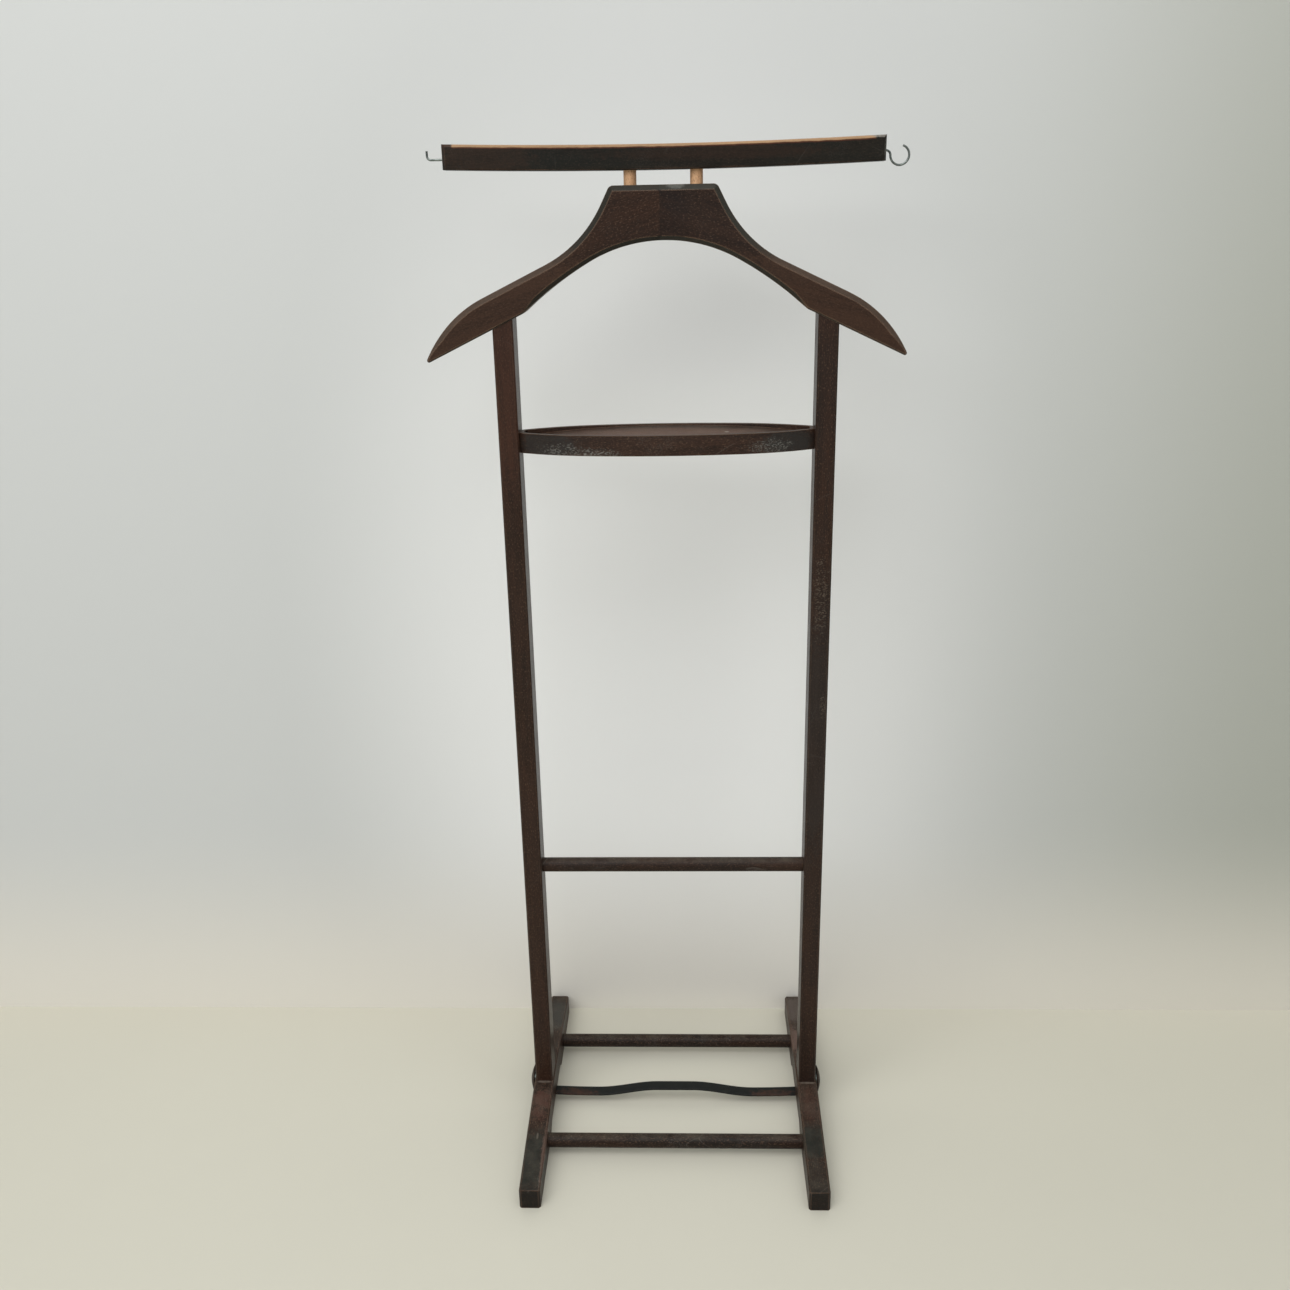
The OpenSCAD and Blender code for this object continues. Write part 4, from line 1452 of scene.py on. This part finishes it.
@dataclass
class Studio:
    """Camera, floor, backdrop and light."""

    eye: Triple = (0.021, -1.234, 1.018)
    right: Triple = (0.99933, 0.03117, -0.01926)
    up: Triple = (0.00782, 0.33225, 0.94316)
    back: Triple = (0.03580, -0.94268, 0.33178)
    lens_mm: float = 34.6
    sensor_mm: float = 36.0
    wall_y: float = 0.181
    reach: float = 6.0
    floor_tint: Triple = (0.665, 0.645, 0.545)
    floor_rough: float = 0.55
    wall_rough: float = 0.8
    # painted light on the wall: a painted pool of light round this centre, and painted shade to
    # the right
    painted_light_centre: Triple = (0.0, 0.0, 0.45)
    painted_light_half: Triple = (0.42, 1.0, 0.75)
    wall_painted_light: Triple = (0.93, 0.94, 0.93)
    wall_dull: Triple = (0.63, 0.645, 0.635)
    wall_painted_shade: Triple = (0.44, 0.455, 0.405)
    wall_warm: Triple = (0.83, 0.79, 0.70)
    sky_tint: Triple = (0.97, 0.98, 1.0)
    sky_light: float = 0.45
    sky_seen: float = 0.66
    lamps: tuple[Lamp, ...] = (
        Lamp("key", (-1.1, -2.1, 2.9), 2.8, 62.0),
        Lamp("top", (0.3, -1.0, 3.0), 2.2, 20.0),
    )
    lamps_face: Triple = (0.0, 0.0, 0.55)

    def build(self) -> None:
        """Builds the whole studio, with broad soft lamps in front of the stand."""
        self.camera()
        self.floor()
        self.wall()
        self.sky()
        for lamp in self.lamps:
            lamp.hang(self.lamps_face)

    def camera(self) -> None:
        """Sets the camera a little under the top bar, looking down at the stand."""
        data = bpy.data.cameras.new("camera")
        data.lens = self.lens_mm
        data.sensor_width = self.sensor_mm
        camera = bpy.data.objects.new("camera", data)
        turn = Matrix((self.right, self.up, self.back)).transposed().to_4x4()
        camera.matrix_world = Matrix.Translation(self.eye) @ turn
        bpy.context.scene.collection.objects.link(camera)
        bpy.context.scene.camera = camera

    @staticmethod
    def sheet(surface: Surface, points: list[Triple], roughness: float) -> None:
        """Makes one flat sheet of the studio.

        Args:
            surface: its finish, with the sheet's own name.
            points: its four corners.
            roughness: its roughness.
        """
        surface.fill(surface.skin, {"Base Color": surface.colour, "Roughness": roughness})
        piece = new_piece(surface.material.name, points, faces=[(0, 1, 2, 3)])
        piece.data.materials.append(surface.material)

    def floor(self) -> None:
        """Lays the pale floor."""
        r = self.reach
        s = Surface("floor")
        s.colour = s.mix(s.noise(s.place, 2.0), dimmed(self.floor_tint, 0.95), self.floor_tint)
        self.sheet(s, [(-r, -r, 0), (r, -r, 0), (r, r, 0), (-r, r, 0)], self.floor_rough)

    def wall(self) -> None:
        """Puts up the wall behind the stand, which shows from the front alone.

        A painted pool of light makes it palest behind the stand, painted shade makes it dull to
        the right, and it is warm at its foot.
        """
        r, y = self.reach, self.wall_y
        s = Surface("wall")
        axes = s.parts(s.place)
        off = s.vector("SUBTRACT", s.place, self.painted_light_centre)
        near = s.measure("LENGTH", s.vector("DIVIDE", off, self.painted_light_half))
        # painted pool of light behind the stand, then painted shade to the right
        s.colour = s.mix(s.band(near, 0.30, 1.2), self.wall_painted_light, self.wall_dull)
        s.cover(s.band(axes["X"], 0.22, 0.80), self.wall_painted_shade)
        s.cover(s.times(s.fade(axes["Z"], 0.0, 0.30), 0.75), self.wall_warm)
        self.sheet(s, [(-r, y, 0), (r, y, 0), (r, y, r), (-r, y, r)], self.wall_rough)
        nodes = s.tree.nodes
        behind = s.add("ShaderNodeNewGeometry")["Backfacing"]
        clear = s.add("ShaderNodeBsdfTransparent")[0]
        paint = nodes["Principled BSDF"].outputs[0]
        both = s.add("ShaderNodeMixShader", {0: behind, 1: paint, 2: clear})[0]
        s.fill(nodes["Material Output"].inputs, {"Surface": both})

    def sky(self) -> None:
        """Makes a pale sky all round, which looks brighter than it lights."""
        world = bpy.data.worlds.new("sky")
        bpy.context.scene.world = world
        world.use_nodes = True
        w = Wiring(world.node_tree)
        rays = w.add("ShaderNodeLightPath")
        seen = w.math("MAXIMUM", rays["Is Camera Ray"], rays["Is Glossy Ray"])
        seen = w.math("MAXIMUM", seen, rays["Is Transmission Ray"])
        strength = w.plus(w.times(seen, self.sky_seen - self.sky_light), self.sky_light)
        w.fill(world.node_tree.nodes["Background"].inputs,
               {"Color": self.sky_tint, "Strength": strength})


def main() -> None:
    """Builds the studio and every sub-assembly; each fitted piece's face count is logged."""
    logging.basicConfig(level=logging.INFO, format="%(message)s")
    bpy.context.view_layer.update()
    bpy.context.scene.view_settings.view_transform = "Standard"
    Studio().build()
    shop = Workshop()
    for part in (Base(shop), Uprights(shop), Hanger(shop), TopBar(shop)):
        log.info("-- %s", type(part).__name__)
        part.build()


if __name__ == "__main__":
    main()
